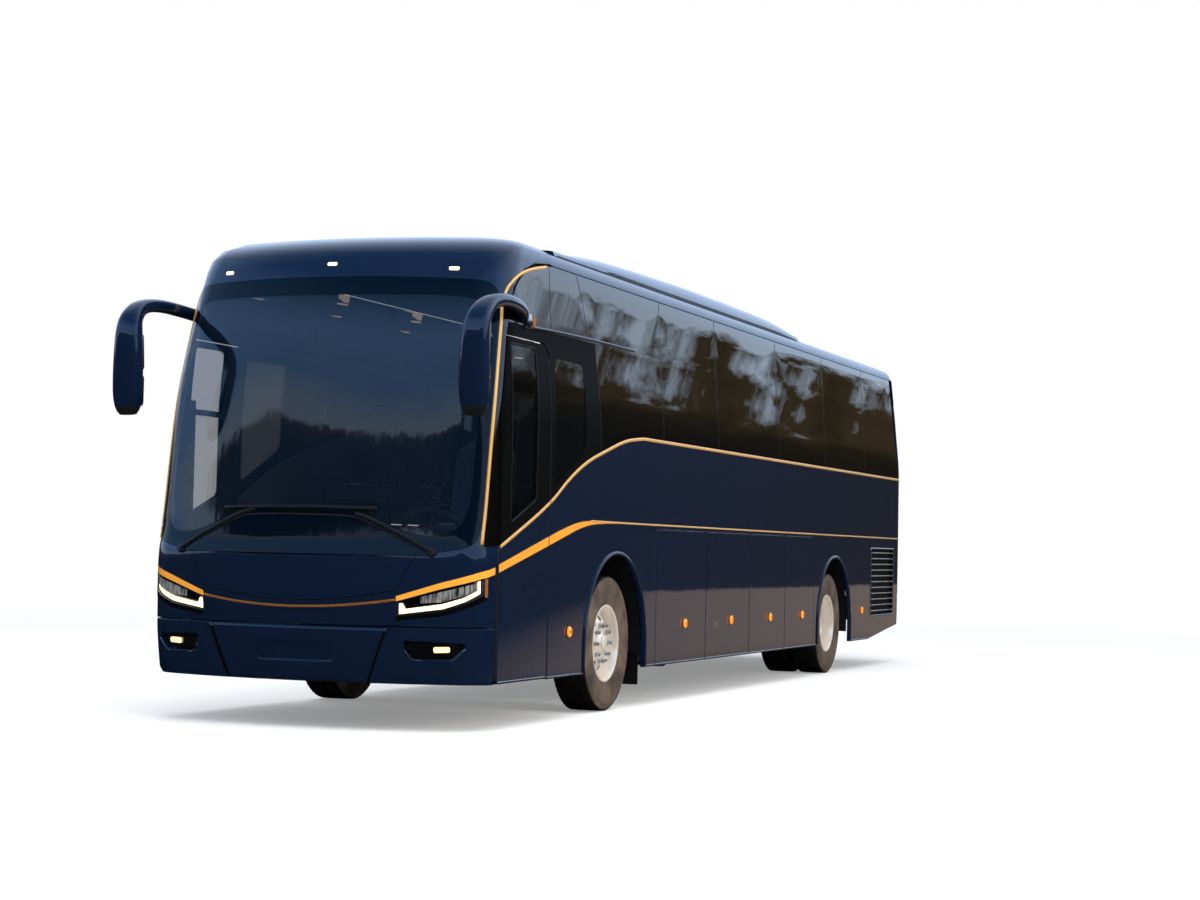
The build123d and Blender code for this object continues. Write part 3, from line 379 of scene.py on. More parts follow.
def onPanel(points, loops):
    # inside the first loop, the outline, and outside all others, its holes
    return insideLoop(points, loops[0]) & ~np.any([insideLoop(points, h) for h in loops[1:]] or [False], axis=0)


def shiftedLoop(loop, distance):
    # the loop moved to its inside by distance, or to its outside if that is below zero
    ahead = np.roll(loop, -1, axis=0) - loop
    area = np.sum(loop[:, 0] * np.roll(loop[:, 1], -1) - np.roll(loop[:, 0], -1) * loop[:, 1])
    ahead /= np.maximum(np.linalg.norm(ahead, axis=1, keepdims=True), 1e-9)
    sides = np.stack([-ahead[:, 1], ahead[:, 0]], 1) * (1 if area > 0 else -1)
    both = sides + np.roll(sides, 1, axis=0)
    length = np.maximum(np.sum(both ** 2, axis=1, keepdims=True), 0.5)
    return loop + both / length * 2 * distance


def farFrom(points, loops, distance):
    keep = np.ones(len(points), bool)
    for loop in loops:
        for a, b in zip(loop, np.roll(loop, -1, axis=0)):
            d = b - a
            u = np.clip(((points - a) @ d) / max(d @ d, 1e-12), 0, 1)
            keep &= np.linalg.norm(points - (a + u[:, None] * d), axis=1) > distance
    return keep


def unit(vectors):
    return vectors / np.maximum(np.linalg.norm(vectors, axis=1, keepdims=True), 1e-12)


def surfaceSlopes(value, uv, reach):
    # how a function of the surface changes along its first and its second coordinate
    steps = (np.array([reach, 0.0]), np.array([0.0, reach]))
    return [value(uv + step) - value(uv - step) for step in steps]


def surfaceNormals(mapping, uv):
    place, sense = mapping
    across, upward = surfaceSlopes(place, uv, panel["normalReach"])
    return unit(np.cross(across, upward)) * sense


def cutPanel(outline, holes, regions, step, edge):
    # the flat panel as triangles in the mapping's own plane, each with the slot of the region it lies in
    loops = [finePath(outline, step, True)] + [finePath(h, step, True) for h in holes]
    rings = [shiftedLoop(loops[0], edge)] + [shiftedLoop(h, -edge) for h in loops[1:]]
    guides = [finePath(r, step, True) for r, _ in regions]
    points, edges = [], []
    for loop in loops + rings + guides:
        first = len(points)
        points += [Vector(p) for p in loop]
        edges += [(first + k, first + (k + 1) % len(loop)) for k in range(len(loop))]
    low, high = loops[0].min(0), loops[0].max(0)
    us, vs = np.arange(low[0] + step / 2, high[0], step), np.arange(low[1] + step / 2, high[1], step)
    grid = np.array([(u, v) for u in us for v in vs]).reshape(-1, 2)
    grid = grid[onPanel(grid, loops)]
    grid = grid[farFrom(grid, loops + guides, step * 0.4)]
    points += [Vector(p) for p in grid]
    flat, _, triangles, _, _, _ = delaunay_2d_cdt(points, edges, [], 0, 1e-5)
    uv = np.array([(p[0], p[1]) for p in flat])
    triangles = np.array([t for t in triangles if len(t) == 3])
    middles = uv[triangles].mean(1)
    keep = onPanel(middles, loops)
    triangles, middles = triangles[keep], middles[keep]
    area = np.cross(uv[triangles[:, 1]] - uv[triangles[:, 0]], uv[triangles[:, 2]] - uv[triangles[:, 0]])
    triangles = np.where(area[:, None] < 0, triangles[:, ::-1], triangles)
    slots = np.zeros(len(triangles), int)
    for loop, slot in regions:
        slots[insideLoop(middles, np.array(loop, float))] = slot
    used, flatIndex = np.unique(triangles, return_inverse=True)
    return uv[used], flatIndex.reshape(-1, 3), slots


def openEdges(triangles):
    # edges that only one triangle has, each with that triangle's number
    owners = {}
    for number, (a, b, c) in enumerate(triangles):
        owners.update({(a, b): number, (b, c): number, (c, a): number})
    return [(i, j, number) for (i, j), number in owners.items() if (j, i) not in owners]


def sheet(name, outline, mapping, materials, body="coach_body", holes=(), regions=(), step=0.12, depth=0.03,
          edge=0.003, lift=0.0, relief=None, hides=(), innerSlot=0):
    # a curved panel of some depth: outline, holes and painted regions are loops in the mapping's own plane
    uv, triangles, slots = cutPanel(outline, holes, regions, step, edge)
    place, sense = mapping
    base, plain = place(uv), surfaceNormals(mapping, uv)
    normals, offset = plain, np.full(len(uv), lift)
    if relief is not None:
        offset += relief(uv)
        reach = panel["reliefReach"]
        slopes = [change / (2 * reach) for change in surfaceSlopes(relief, uv, reach)]
        across, upward = (unit(change) for change in surfaceSlopes(place, uv, reach))
        normals = unit(plain - across * slopes[0][:, None] - upward * slopes[1][:, None])
    outer = base + plain * offset[:, None]
    # the rim leans outwards and sinks a little, so that it catches the light as a rolled edge does
    rimEdges = openEdges(triangles)
    outward = np.zeros((len(uv), 3))
    for i, j, _ in rimEdges:
        out = np.cross(outer[j] - outer[i], normals[i]) * sense
        out /= max(np.linalg.norm(out), 1e-12)
        outward[i] += out
        outward[j] += out
    isRim = np.linalg.norm(outward, axis=1) > 0.1
    outward[isRim] = unit(outward[isRim])
    tilted = normals.copy()
    tilted[isRim] = unit(normals[isRim] + outward[isRim])
    outer[isRim] -= normals[isRim] * min(edge, panel["rimLimit"]) * panel["rimDrop"]
    count = len(uv)
    vertices = np.concatenate([outer, base - plain * depth])
    faces, faceSlots, loopNormals = [], [], []
    for (a, b, c), slot in zip(triangles, slots):
        faces.append((a, b, c) if sense > 0 else (c, b, a))
        loopNormals += [tilted[v] for v in faces[-1]]
        faces.append((count + c, count + b, count + a) if sense > 0 else (count + a, count + b, count + c))
        loopNormals += [-normals[v % count] for v in faces[-1]]
        faceSlots += [slot, innerSlot]
    for i, j, number in rimEdges:
        faces.append((j, i, count + i, count + j) if sense > 0 else (i, j, count + j, count + i))
        loopNormals += [outward[v % count] for v in faces[-1]]
        faceSlots.append(slots[number])
    return makeObject(name, vertices, faces, materials, body, faceSlots, loopNormals, True, hides)


def strip(name, path, mapping, material, width, height, body="coach_body", step=0.05, closed=False, sunk=0.002):
    # a raised moulding that follows a line on the surface
    points = finePath(path, step, closed)
    if closed:
        along = np.roll(points, -1, axis=0) - np.roll(points, 1, axis=0)
    else:
        along = np.gradient(points, axis=0)
    along = unit(along)
    across = np.stack([-along[:, 1], along[:, 0]], 1)
    place, sense = mapping
    half = [(0.5, -sunk), (0.46, height * 0.55), (0.3, height)]
    profile = [(-share, rise) for share, rise in half] + half[::-1]
    rows = []
    for offset, rise in profile:
        uv = points + across * offset * width
        rows.append(place(uv) + surfaceNormals(mapping, uv) * rise)
    rows = np.array(rows)
    many, count = rows.shape[0], rows.shape[1]
    vertices = rows.transpose(1, 0, 2).reshape(-1, 3)
    faces = []
    for i in range(count if closed else count - 1):
        j = (i + 1) % count
        for k in range(many - 1):
            quad = (i * many + k, j * many + k, j * many + k + 1, i * many + k + 1)
            faces.append(quad if sense > 0 else quad[::-1])
    if not closed:
        first = tuple(range(many))
        last = tuple((count - 1) * many + k for k in range(many))
        faces.append(first if sense > 0 else first[::-1])
        faces.append(last[::-1] if sense > 0 else last)
    return makeObject(name, vertices, faces, [material], body)


def boxMesh(x0, x1, d0, d1, z0, z1):
    # a plain box between two places across, two distances behind the nose and two heights
    corners = [(x, noseY + d, z) for x in (x0, x1) for d in (d0, d1) for z in (z0, z1)]
    faces = [(0, 1, 3, 2), (4, 6, 7, 5), (0, 4, 5, 1), (2, 3, 7, 6), (0, 2, 6, 4), (1, 5, 7, 3)]
    return corners, faces


def joinMeshes(parts):
    vertices, faces = [], []
    for points, polygons in parts:
        first = len(vertices)
        vertices += [tuple(p) for p in points]
        faces += [tuple(first + int(i) for i in f) for f in polygons]
    return vertices, faces


def turns(count, start=0.0):
    # angles evenly round a circle
    return [2 * math.pi * (k + start) / count for k in range(count)]


def gridFaces(rows, count, rowsClose=False, ringCloses=True):
    # quads between neighbouring rows of equally many points
    faces = []
    for i in range(rows if rowsClose else rows - 1):
        here, there = i * count, (i + 1) % rows * count
        for k in range(count if ringCloses else count - 1):
            n = (k + 1) % count
            faces.append((here + k, here + n, there + n, there + k))
    return faces


def revolved(profile, segments, closed=True):
    # a ring about the X axis from (offset along X, radius) points
    points = [(x, r * math.cos(a), r * math.sin(a)) for a in turns(segments) for x, r in profile]
    return points, gridFaces(segments, len(profile), True, closed)


def moved(part, offset=(0, 0, 0), side=1):
    # mirrored to the other side if side is -1, then shifted
    points, faces = part
    places = [(side * p[0] + offset[0], p[1] + offset[1], p[2] + offset[2]) for p in points]
    return places, faces if side > 0 else [tuple(reversed(f)) for f in faces]


def addPart(name, part, materials, angle=40, body="coach_body", **settings):
    # a mesh of points and faces as an object, shaded flat over edges sharper than the angle
    made = makeObject(name, *part, materials, body, **settings)
    made.data.set_sharp_from_angle(angle=math.radians(angle))


# Materials

def linear(hexColour):
    parts = [int(hexColour[i:i + 2], 16) / 255 for i in (1, 3, 5)]
    return tuple([c / 12.92 if c <= 0.04045 else ((c + 0.055) / 1.055) ** 2.4 for c in parts] + [1.0])


def addNode(tree, kind, inputs=(), **settings):
    # a shader node with its settings; an input is a value, a socket or a node whose first output is meant
    node = tree.nodes.new("ShaderNode" + kind)
    for key, value in settings.items():
        setattr(node, key, value)
    for key, value in dict(inputs).items():
        if isinstance(value, bpy.types.Node):
            value = value.outputs[0]
        if isinstance(value, bpy.types.NodeSocket):
            tree.links.new(value, node.inputs[key])
        else:
            node.inputs[key].default_value = value
    return node


def shader(name, **values):
    made = bpy.data.materials.new(name)
    made.use_nodes = True
    tree = made.node_tree
    principled = tree.nodes["Principled BSDF"]
    for key, value in values.items():
        principled.inputs[key.replace("_", " ")].default_value = value
    return made, tree, principled


def grained(tree, principled, perMetre, strength, depth, detail=3.0, socket="Normal"):
    # a fine unevenness that breaks up highlights; perMetre is how many grains lie in a metre
    place = addNode(tree, "TexCoord")
    grain = addNode(tree, "TexNoise", {"Vector": place.outputs["Object"], "Scale": perMetre, "Detail": detail,
                                       "Roughness": 0.5})
    bump = addNode(tree, "Bump", {"Height": grain, "Strength": strength, "Distance": depth})
    tree.links.new(bump.outputs["Normal"], principled.inputs[socket])


def worn(tree, principled, perMetre, low, high):
    # patches of duller and shinier surface, between two roughnesses
    place = addNode(tree, "TexCoord")
    patches = addNode(tree, "TexNoise", {"Vector": place.outputs["Object"], "Scale": perMetre, "Detail": 3.0,
                                         "Roughness": 0.5})
    share = addNode(tree, "MapRange", {"Value": patches, "To Min": low, "To Max": high})
    tree.links.new(share.outputs["Result"], principled.inputs["Roughness"])


def navyPaint():
    # navy paint, deep and dark, under a clear mirror coat that carries every reflection
    made, tree, principled = shader("navyPaint", Base_Color=linear("#04132A"), Roughness=0.4,
                                    Specular_IOR_Level=0.08, Coat_Weight=1.0, Coat_Roughness=0.015)
    # the sheet metal's slow waviness, about nine swells in a metre
    grained(tree, principled, 9.0, 0.05, 0.004, detail=1.0, socket="Coat Normal")
    return made


def goldFilm():
    # amber gold striping film, glossy like the paint round it
    return shader("goldStripe", Base_Color=linear("#F0A030"), Metallic=0.15, Roughness=0.3, Coat_Weight=0.8,
                  Coat_Roughness=0.05)[0]


def metalTrim(name, colour, share, roughness):
    # anodised moulding: bright where it meets the light, with some of its own colour in shade
    return shader(name, Base_Color=linear(colour), Metallic=share, Roughness=roughness)[0]


def gloss(name, colour, roughness=0.05, coat=0.6, shine=0.5):
    # ceramic black and piano black: deep black with a mirror-like face
    return shader(name, Base_Color=linear(colour), Roughness=roughness, Coat_Weight=coat, Coat_Roughness=0.02,
                  Specular_IOR_Level=shine)[0]


def tintedGlass(name, colour, alpha):
    # dark privacy glass: strong reflections with the saloon only just showing through
    return shader(name, Base_Color=linear(colour), Roughness=0.0, Alpha=alpha, Specular_IOR_Level=0.75,
                  Coat_Weight=0.5, Coat_Roughness=0.0)[0]


def rubber(name, colour, perMetre=180.0, roughness=0.72):
    # dull moulded rubber with a fine grain, 4 to 6 mm wide so that it shows, and slightly shinier patches
    made, tree, principled = shader(name, Base_Color=linear(colour), Roughness=roughness, Specular_IOR_Level=0.35)
    grained(tree, principled, perMetre, 0.25, 0.001)
    worn(tree, principled, 12.0, roughness - 0.1, roughness + 0.1)
    return made


def litSidewallRubber(name, dimLitTone, brightLitTone, roughness):
    # moulded rubber painted a paler grey brown than the tread, in uneven clouds: painted light, standing for the light
    # that falls on a tyre's side wall
    made, tree, principled = shader(name, Roughness=roughness, Specular_IOR_Level=0.3)
    place = addNode(tree, "TexCoord")
    # uneven clouds between a dimmer and a brighter tone of painted light
    lightClouds = addNode(tree, "TexNoise", {"Vector": place.outputs["Object"], "Scale": 6.0, "Detail": 6.0,
                                      "Roughness": 0.62})
    cloud = addNode(tree, "MapRange", {"Value": lightClouds, "From Min": 0.36, "From Max": 0.66})
    blend = addNode(tree, "Mix", {"Factor": cloud}, data_type="RGBA")
    blend.inputs["A"].default_value, blend.inputs["B"].default_value = linear(dimLitTone), linear(brightLitTone)
    tree.links.new(blend.outputs["Result"], principled.inputs["Base Color"])
    grained(tree, principled, 140.0, 0.25, 0.001)
    return made


def plastic(name, colour, roughness=0.5, shine=0.5):
    # moulded ABS with a grain of under 2 mm, which turns its highlights soft
    made, tree, principled = shader(name, Base_Color=linear(colour), Roughness=roughness, Specular_IOR_Level=shine)
    grained(tree, principled, 600.0, 0.15, 0.0006)
    return made


def metal(name, colour, roughness):
    # bare or painted metal, its colour carried by the reflections
    made, tree, principled = shader(name, Base_Color=linear(colour), Metallic=1.0, Roughness=roughness)
    worn(tree, principled, 25.0, roughness * 0.7, roughness * 1.3)
    return made


def brushedWheel(name, colour, share, roughness):
    # forged aluminium, brushed and lacquered: half mirror, half a pale sheen that stays bright in shade
    made, tree, principled = shader(name, Base_Color=linear(colour), Metallic=share, Roughness=roughness)
    worn(tree, principled, 25.0, roughness * 0.92, roughness * 1.08)
    return made


def flutedMetal(name, dark, pale, roughness):
    # lamp reflector, a soft grey mirror broken by upright flutes about 15 mm wide, whose lit and shaded faces are
    # painted into its colour as pale and dark streaks
    made, tree, principled = shader(name, Metallic=0.6, Roughness=roughness)
    place = addNode(tree, "TexCoord")
    flutes = addNode(tree, "Mapping", {"Vector": place.outputs["Object"], "Scale": (62.0, 62.0, 9.0)})
    streaks = addNode(tree, "TexNoise", {"Vector": flutes.outputs["Vector"], "Scale": 1.0, "Detail": 2.0})
    # painted light: pale and dark streaks in the base colour, over the same pattern as the flutes' bump
    ramp = addNode(tree, "ValToRGB", {"Fac": streaks})
    for stop, position, colour in zip(ramp.color_ramp.elements, (0.36, 0.62), (dark, pale)):
        stop.position, stop.color = position, linear(colour)
    tree.links.new(ramp.outputs["Color"], principled.inputs["Base Color"])
    bump = addNode(tree, "Bump", {"Height": streaks, "Strength": 0.8, "Distance": 0.004})
    tree.links.new(bump.outputs["Normal"], principled.inputs["Normal"])
    return made


def glowing(name, colour, strength):
    # a lamp's light strip or lens, lit; on the corner reflector the faint glow is a painted glint of reflected light
    return shader(name, Base_Color=linear(colour), Roughness=0.3, Emission_Color=linear(colour),
                  Emission_Strength=strength)[0]


def cloth(name, colour):
    # woven seat cloth: threads of about 1 mm and a soft sheen at the edges
    made, tree, principled = shader(name, Base_Color=linear(colour), Roughness=0.9, Sheen_Weight=0.3)
    grained(tree, principled, 900.0, 0.4, 0.001)
    return made


paint = navyPaint()
gold = goldFilm()
goldMoulding = metalTrim("goldTrim", "#ECB668", 0.55, 0.26)
copper = metalTrim("copperTrim", "#C8813F", 0.8, 0.25)
frit = gloss("ceramicBlack", "#050506", 0.04)
screenFrit = gloss("screenBorderBlack", "#020A16", 0.04, 0.0, 0.22)
pianoBlack = gloss("pianoBlack", "#070809", 0.08)
sideGlassTint = tintedGlass("privacyGlass", "#06080A", 0.93)
screenTint = tintedGlass("windscreenGlass", "#0C1A2A", 0.42)
doorTint = tintedGlass("cabGlass", "#0A0F12", 0.22)
lampCover = tintedGlass("lampCover", "#0A0D12", 0.16)
tyreRubber = rubber("tyreRubber", "#0E0C0A")
# painted light: the tyres' side walls are paler than the tread, where light falls on them
sidewallRubber = litSidewallRubber("paintedLightSidewallRubber", "#3A322B", "#5E5044", 0.8)
sealRubber = rubber("sealRubber", "#0B0B0C", 250.0, 0.55)
blackPlastic = plastic("blackPlastic", "#0E0F10", 0.55)
frameBlack = plastic("satinBlackFrame", "#060605", 0.38, shine=0.02)
cabinTrim = plastic("greyCabinTrim", "#5C6570", 0.6)
darkTrim = plastic("darkDashTrim", "#1C2024", 0.55)
floorCover = plastic("speckledFloor", "#3A3F45", 0.7)
polished = brushedWheel("polishedAluminium", "#E6DCCE", 0.5, 0.26)
satinSilver = metal("satinSilver", "#C4C6C8", 0.28)
chassisSteel = metal("paintedSteel", "#26282A", 0.55)
castIron = metal("castIron", "#3B3836", 0.6)
ledWhite = glowing("warmWhiteLamp", "#FFE3B8", 2.2)
amberLamp = glowing("amberMarker", "#E8821A", 0.55)
# painted glint: the corner reflector's faint amber glow stands for light that it reflects; the mirror's side lamp
# shares the material
amberLens = glowing("amberReflector", "#7C4A1C", 0.04)
fogLamp = glowing("fogLampWarm", "#FFC08A", 1.6)
redLamp = glowing("redTailLamp", "#B01410", 0.5)
ceilingLamp = glowing("ceilingLight", "#FFE2B8", 2.5)
seatCloth = cloth("blueSeatCloth", "#27364C")
reflector = metal("lampReflector", "#9EA3A8", 0.2)
fluted = flutedMetal("flutedReflector", "#2A2D33", "#D6D4CE", 0.35)
mirrorGlass = metal("mirrorGlass", "#AEB8C2", 0.02)

# the record's slot behind each material; trims and seals that have none are left out
finishSlots = {
    "navyPaint": "painted_body", "privacyGlass": "tinted_glass", "cabGlass": "tinted_glass",
    "windscreenGlass": "windscreen_glass", "lampCover": "lamp_lens", "warmWhiteLamp": "lamp_lens",
    "fogLampWarm": "lamp_lens", "amberMarker": "amber_lens", "amberReflector": "amber_lens", "redTailLamp": "red_lens",
    "satinSilver": "louvre_metal", "tyreRubber": "tyre", "polishedAluminium": "polished_wheel",
    "paintedSteel": "chassis_steel", "castIron": "cast_metal", "blackPlastic": "black_plastic",
    "satinBlackFrame": "black_plastic", "darkDashTrim": "black_plastic", "ceramicBlack": "gloss_black",
    "screenBorderBlack": "gloss_black", "pianoBlack": "gloss_black", "speckledFloor": "floor_covering",
    "blueSeatCloth": "seat_cloth", "greyCabinTrim": "cabin_trim",
}
print("materials made")


# Front cap with the windscreen

front = {
    # lines of the left half as (length round the front, height)
    "screenFoot": [(0, 1.165), (0.55, 1.17), (0.90, 1.19), (1.10, 1.215), (1.283, 1.265)],
    "screenEdge": [(1.285, 1.56), (1.283, 2.19), (1.275, 2.60), (1.262, 2.88), (1.24, 2.99), (1.17, 3.065),
                   (1.05, 3.085)],
    "screenTop": [(0.6, 3.095), (0, 3.10)],
    "clearArea": [(0, 1.47), (0.45, 1.47), (0.86, 1.30), (1.18, 1.33), (1.20, 1.9), (1.17, 2.55), (1.12, 2.88),
                  (1.07, 2.95), (0.9, 2.965), (0, 2.965)],
    # the cap's rear edge up the side as (distance, height), then along the roof seam
    "sideEdge": [(0.556, 0.705), (0.556, 2.135), (0.706, 2.70), (0.856, 3.05), (1.056, 3.20), (1.296, 3.275)],
    "roofSeam": 1.597,
    "roofEdge": 3.30,
    "pillarFoot": [(1.255, 1.24), (1.28, 1.262)],
    "pillarDepth": 0.05,
    # the bonnet rolls under below a crease: its height at the middle, how much it rises over what half width,
    # the roll's half width, height and depth, and where the roll ends above
    "crease": (0.822, 0.055, 0.7),
    "roll": (0.80, 0.11, 0.018),
    "rollTop": 1.2,
    "sheet": 0.035,
}
frontSurface = endMap(False)


def capSideLine():
    # the cap's rear edge from the bumper up to the roof seam, as coordinates round the front
    line = []
    for (d0, z0), (d1, z1) in zip(front["sideEdge"], front["sideEdge"][1:]):
        for k in range(8):
            u = k / 8
            s = float(sAt(z0 + (z1 - z0) * u))
            line.append((roundAt(d0 + (d1 - d0) * u, s), s))
    topS = sAt(front["roofEdge"])
    lastS = float(np.interp(front["roofSeam"], setbackOf(fineS), fineS))
    for k in range(41):
        s = topS + (lastS - topS) * k / 40
        line.append((roundAt(front["roofSeam"], s), s))
    return line


screenLine = softened(front["screenFoot"] + front["screenEdge"] + front["screenTop"], 3)
screenOutline = bothSides(toS(screenLine)[1:-1])
clearOutline = bothSides(toS(softened(front["clearArea"], 3))[1:-1])
lampShape = {
    "outline": [(0.745, 0.775), (1.05, 0.815), (1.20, 0.865), (1.335, 0.925), (1.335, 1.035), (1.03, 0.955),
                (0.75, 0.872)],
    "stripe": [(0.735, 0.872), (1.03, 0.958), (1.30, 1.026), (1.47, 1.062), (1.47, 1.110), (1.30, 1.074),
               (1.03, 1.000), (0.735, 0.906)],
}


def sided(points, side):
    return points if side > 0 else mirroredPoints(points)


def creaseRelief(uv):
    # the middle of the bonnet stands proud of the sides and rolls under towards the bumper seam
    t, z = uv[:, 0], heightOf(uv[:, 1])
    (lowest, rise, over), (halfWidth, height, depth) = front["crease"], front["roll"]
    line = lowest + rise * (t / over) ** 2
    below = np.clip((line - z) / height, 0, 1)
    inside = np.clip((halfWidth - np.abs(t)) / 0.05, 0, 1)
    return -depth * inside * below * np.clip((front["rollTop"] - z) / 0.1, 0, 1)


capLine = capSideLine()


def pillarRegion(side):
    # the black pillar between the windscreen and the door
    edge = front["pillarFoot"] + front["screenEdge"][:5]
    footHeight, topHeight = 1.25, 3.0
    back = [(p[0] + front["pillarDepth"], p[1]) for p in capLine if sAt(footHeight) < p[1] < sAt(topHeight)]
    low = [(1.6, sAt(front["pillarFoot"][-1][1]))]
    return sided(toS(edge) + back[::-1] + low, side)


lampHoles = [toS(sided(lampShape["outline"], side)) for side, _ in hands]
capRegions = [(toS(sided(lampShape["stripe"], side)), 1) for side, _ in hands]
capRegions += [(pillarRegion(side), 2) for side, _ in hands]
sheet("frontCapSkin", bothSides(capLine), frontSurface, [paint, gold, frit, cabinTrim],
      holes=[screenOutline] + lampHoles, regions=capRegions, step=0.09, depth=front["sheet"], relief=creaseRelief,
      hides=["front_cap"], innerSlot=3)
sheet("windscreenSheet", screenOutline, frontSurface, [screenFrit, screenTint], regions=[(clearOutline, 1)],
      step=0.11, depth=0.008, edge=0.002, lift=0.001, hides=["windscreen"], innerSlot=1)
print("front cap made")


def ribbon(path, width):
    # a closed band of that width along an open line
    points = finePath(path, 0.05, False)
    along = unit(np.gradient(points, axis=0))
    across = np.stack([-along[:, 1], along[:, 0]], 1) * width / 2
    return [tuple(p) for p in points + across] + [tuple(p) for p in (points - across)[::-1]]


# Seams and lines of the front panel

frontLines = {
    # copper line and bonnet seam: heights at the middle and at the ends, half width
    "copper": (0.822, 0.882, 0.728),
    "copperWidth": 0.017,
    "lid": (0.868, 0.95, 0.74),
    "lidTop": [(0.775, 1.02), (0.80, 1.09), (0.86, 1.185)],
    "seamWidth": 0.008,
}


def bowed(middle, end, reach, steps=24):
    # a line across the front that rises towards its ends
    ts = [reach * (2 * k / steps - 1) for k in range(steps + 1)]
    return [(t, middle + (end - middle) * (t / reach) ** 2) for t in ts]


strip("copperLine", toS(bowed(*frontLines["copper"])), frontSurface, copper, frontLines["copperWidth"], 0.004)
lidPath = mirroredPoints(frontLines["lidTop"]) + bowed(*frontLines["lid"]) + frontLines["lidTop"]
strip("bonnetSeam", toS(lidPath), frontSurface, frit, frontLines["seamWidth"], 0.0006)


# Bumper with its middle panel, plate recess and fog lamps

bumper = {
    "top": 0.697,
    "foot": 0.314,
    "rearEdge": 0.553,
    "seam": [(0.525, 0.314), (0.672, 0.697)],
    "seamWidth": 0.020,
    "sunk": 0.012,
    # recess for the number plate: half width, lowest and highest place, depth, width of its bevel
    "plate": (0.28, 0.452, 0.582),
    "plateDepth": 0.010,
    "plateBevel": 0.006,
    # the foot rolls under: where that starts, over what height, how far
    "roll": (0.37, 0.056, 0.022),
    "fog": [(0.80, 0.505), (0.84, 0.487), (1.10, 0.487), (1.21, 0.585), (1.19, 0.60), (0.785, 0.612)],
    "fogLamp": [(0.985, 0.530), (1.095, 0.535), (1.095, 0.570), (0.985, 0.567)],
    # painted highlights: thin satin strips along the fog recess's lower rim, standing for light caught on its edge
    "fogEdges": [[(0.795, 0.545), (0.835, 0.484), (0.90, 0.480)], [(1.09, 0.481), (1.115, 0.486), (1.20, 0.562)]],
    # the middle panel's lip: foot, height, depth
    "lip": (0.665, 0.032, 0.016),
    "lipLines": ((0.665, 0.674), (0.682, 0.690)),
    "lipHalf": 0.64,
}


def bumperSeamAt(z):
    (t0, z0), (t1, z1) = bumper["seam"]
    return t0 + (t1 - t0) * (z - z0) / (z1 - z0)


def bumperRelief(uv):
    # the middle panel lies back, with the plate's recess in it and a lip over it
    t, z = np.abs(uv[:, 0]), heightOf(uv[:, 1])
    middle = np.clip((bumperSeamAt(z) - t) / bumper["seamWidth"] + 0.5, 0, 1)
    (half, low, high), bevel = bumper["plate"], bumper["plateBevel"]
    inPlate = np.clip((half - t) / bevel, 0, 1) * np.clip((z - low) / bevel, 0, 1) * np.clip((high - z) / bevel, 0, 1)
    rollStart, rollHeight, rollDepth = bumper["roll"]
    roll = np.clip((rollStart - z) / rollHeight, 0, 1) ** 2
    lipFoot, lipHeight, lipDepth = bumper["lip"]
    lip = lipDepth * middle * np.clip((z - lipFoot) / lipHeight, 0, 1) ** 2
    return -bumper["sunk"] * middle - bumper["plateDepth"] * inPlate - rollDepth * roll - lip


def bumperSide():
    zs = np.linspace(bumper["foot"], bumper["top"], 9)
    return [(roundAt(bumper["rearEdge"], sAt(z)), sAt(z)) for z in zs]


bumperHalf = bumperSide()
seamBands = [(toS(sided(ribbon(bumper["seam"], bumper["seamWidth"]), side)), 1) for side, _ in hands]
half, low, high = bumper["plate"]
# guide lines in the paint's own slot, so that the mesh has edges where the relief bends
guides = [(toS(box(-half + g, half - g, low + g, high - g)), 0) for g in (-0.005, 0.0, 0.006, 0.011)]
guides += [(toS(box(-bumper["lipHalf"], bumper["lipHalf"], low, high)), 0) for low, high in bumper["lipLines"]]
fogOutlines = [toS(roundedOutline(sided(bumper["fog"], side), 0.02)) for side, _ in hands]
sheet("bumperSkin", bothSides(bumperHalf), frontSurface, [paint, frit, blackPlastic],
      holes=fogOutlines, regions=guides + seamBands, step=0.09, depth=0.03, relief=bumperRelief,
      hides=["front_bumper"], innerSlot=2)
for (side, word), fogOutline in zip(hands, fogOutlines):
    sheet("fogPocket" + word, shiftedLoop(np.array(fogOutline), -0.012), frontSurface, [pianoBlack], lift=-0.032,
          depth=0.045, step=0.05)
    sheet("fogLamp" + word, toS(roundedOutline(sided(bumper["fogLamp"], side), 0.012)), frontSurface, [fogLamp],
          lift=-0.016, depth=0.03, step=0.03)
    # satin strips laid along the recess rim as painted highlights
    for number, line in enumerate(bumper["fogEdges"]):
        edge = toS(sided(softened(line, 2), side))
        strip(f"fogEdge{word}{number}", edge, frontSurface, satinSilver, 0.005, 0.002, step=0.03)
print("bumper made")


# Headlamps: three lenses before a fluted back and an L-shaped light strip, in a dark housing with a clear cover

headlamp = {
    "strip": [(0.755, 0.858), (0.755, 0.786), (1.05, 0.826), (1.20, 0.876), (1.322, 0.933), (1.322, 1.018),
              (1.300, 1.012), (1.300, 0.952), (1.19, 0.902), (1.04, 0.858), (0.80, 0.822), (0.778, 0.860)],
    # lenses: place round the front, height, radius
    "lenses": [(0.93, 0.893, 0.030), (1.07, 0.925, 0.030), (1.21, 0.960, 0.026)],
    "amber": [(1.350, 0.905), (1.378, 0.911), (1.378, 1.034), (1.350, 1.028)],
    "back": [(0.90, 0.862), (1.04, 0.872), (1.19, 0.916), (1.288, 0.962), (1.288, 1.004), (1.03, 0.938),
             (0.90, 0.905)],
    "skirt": [(0.738, 0.772), (0.738, 0.742), (1.05, 0.780), (1.20, 0.828), (1.378, 0.892), (1.378, 0.903),
              (1.345, 0.924), (1.20, 0.862), (1.05, 0.812), (0.90, 0.792)],
    # small lamps over the windscreen: middles and half size
    "visorLamps": [(0.0, 3.19), (0.885, 3.157), (-0.885, 3.157)],
    "visorLampHalf": (0.035, 0.011),
}


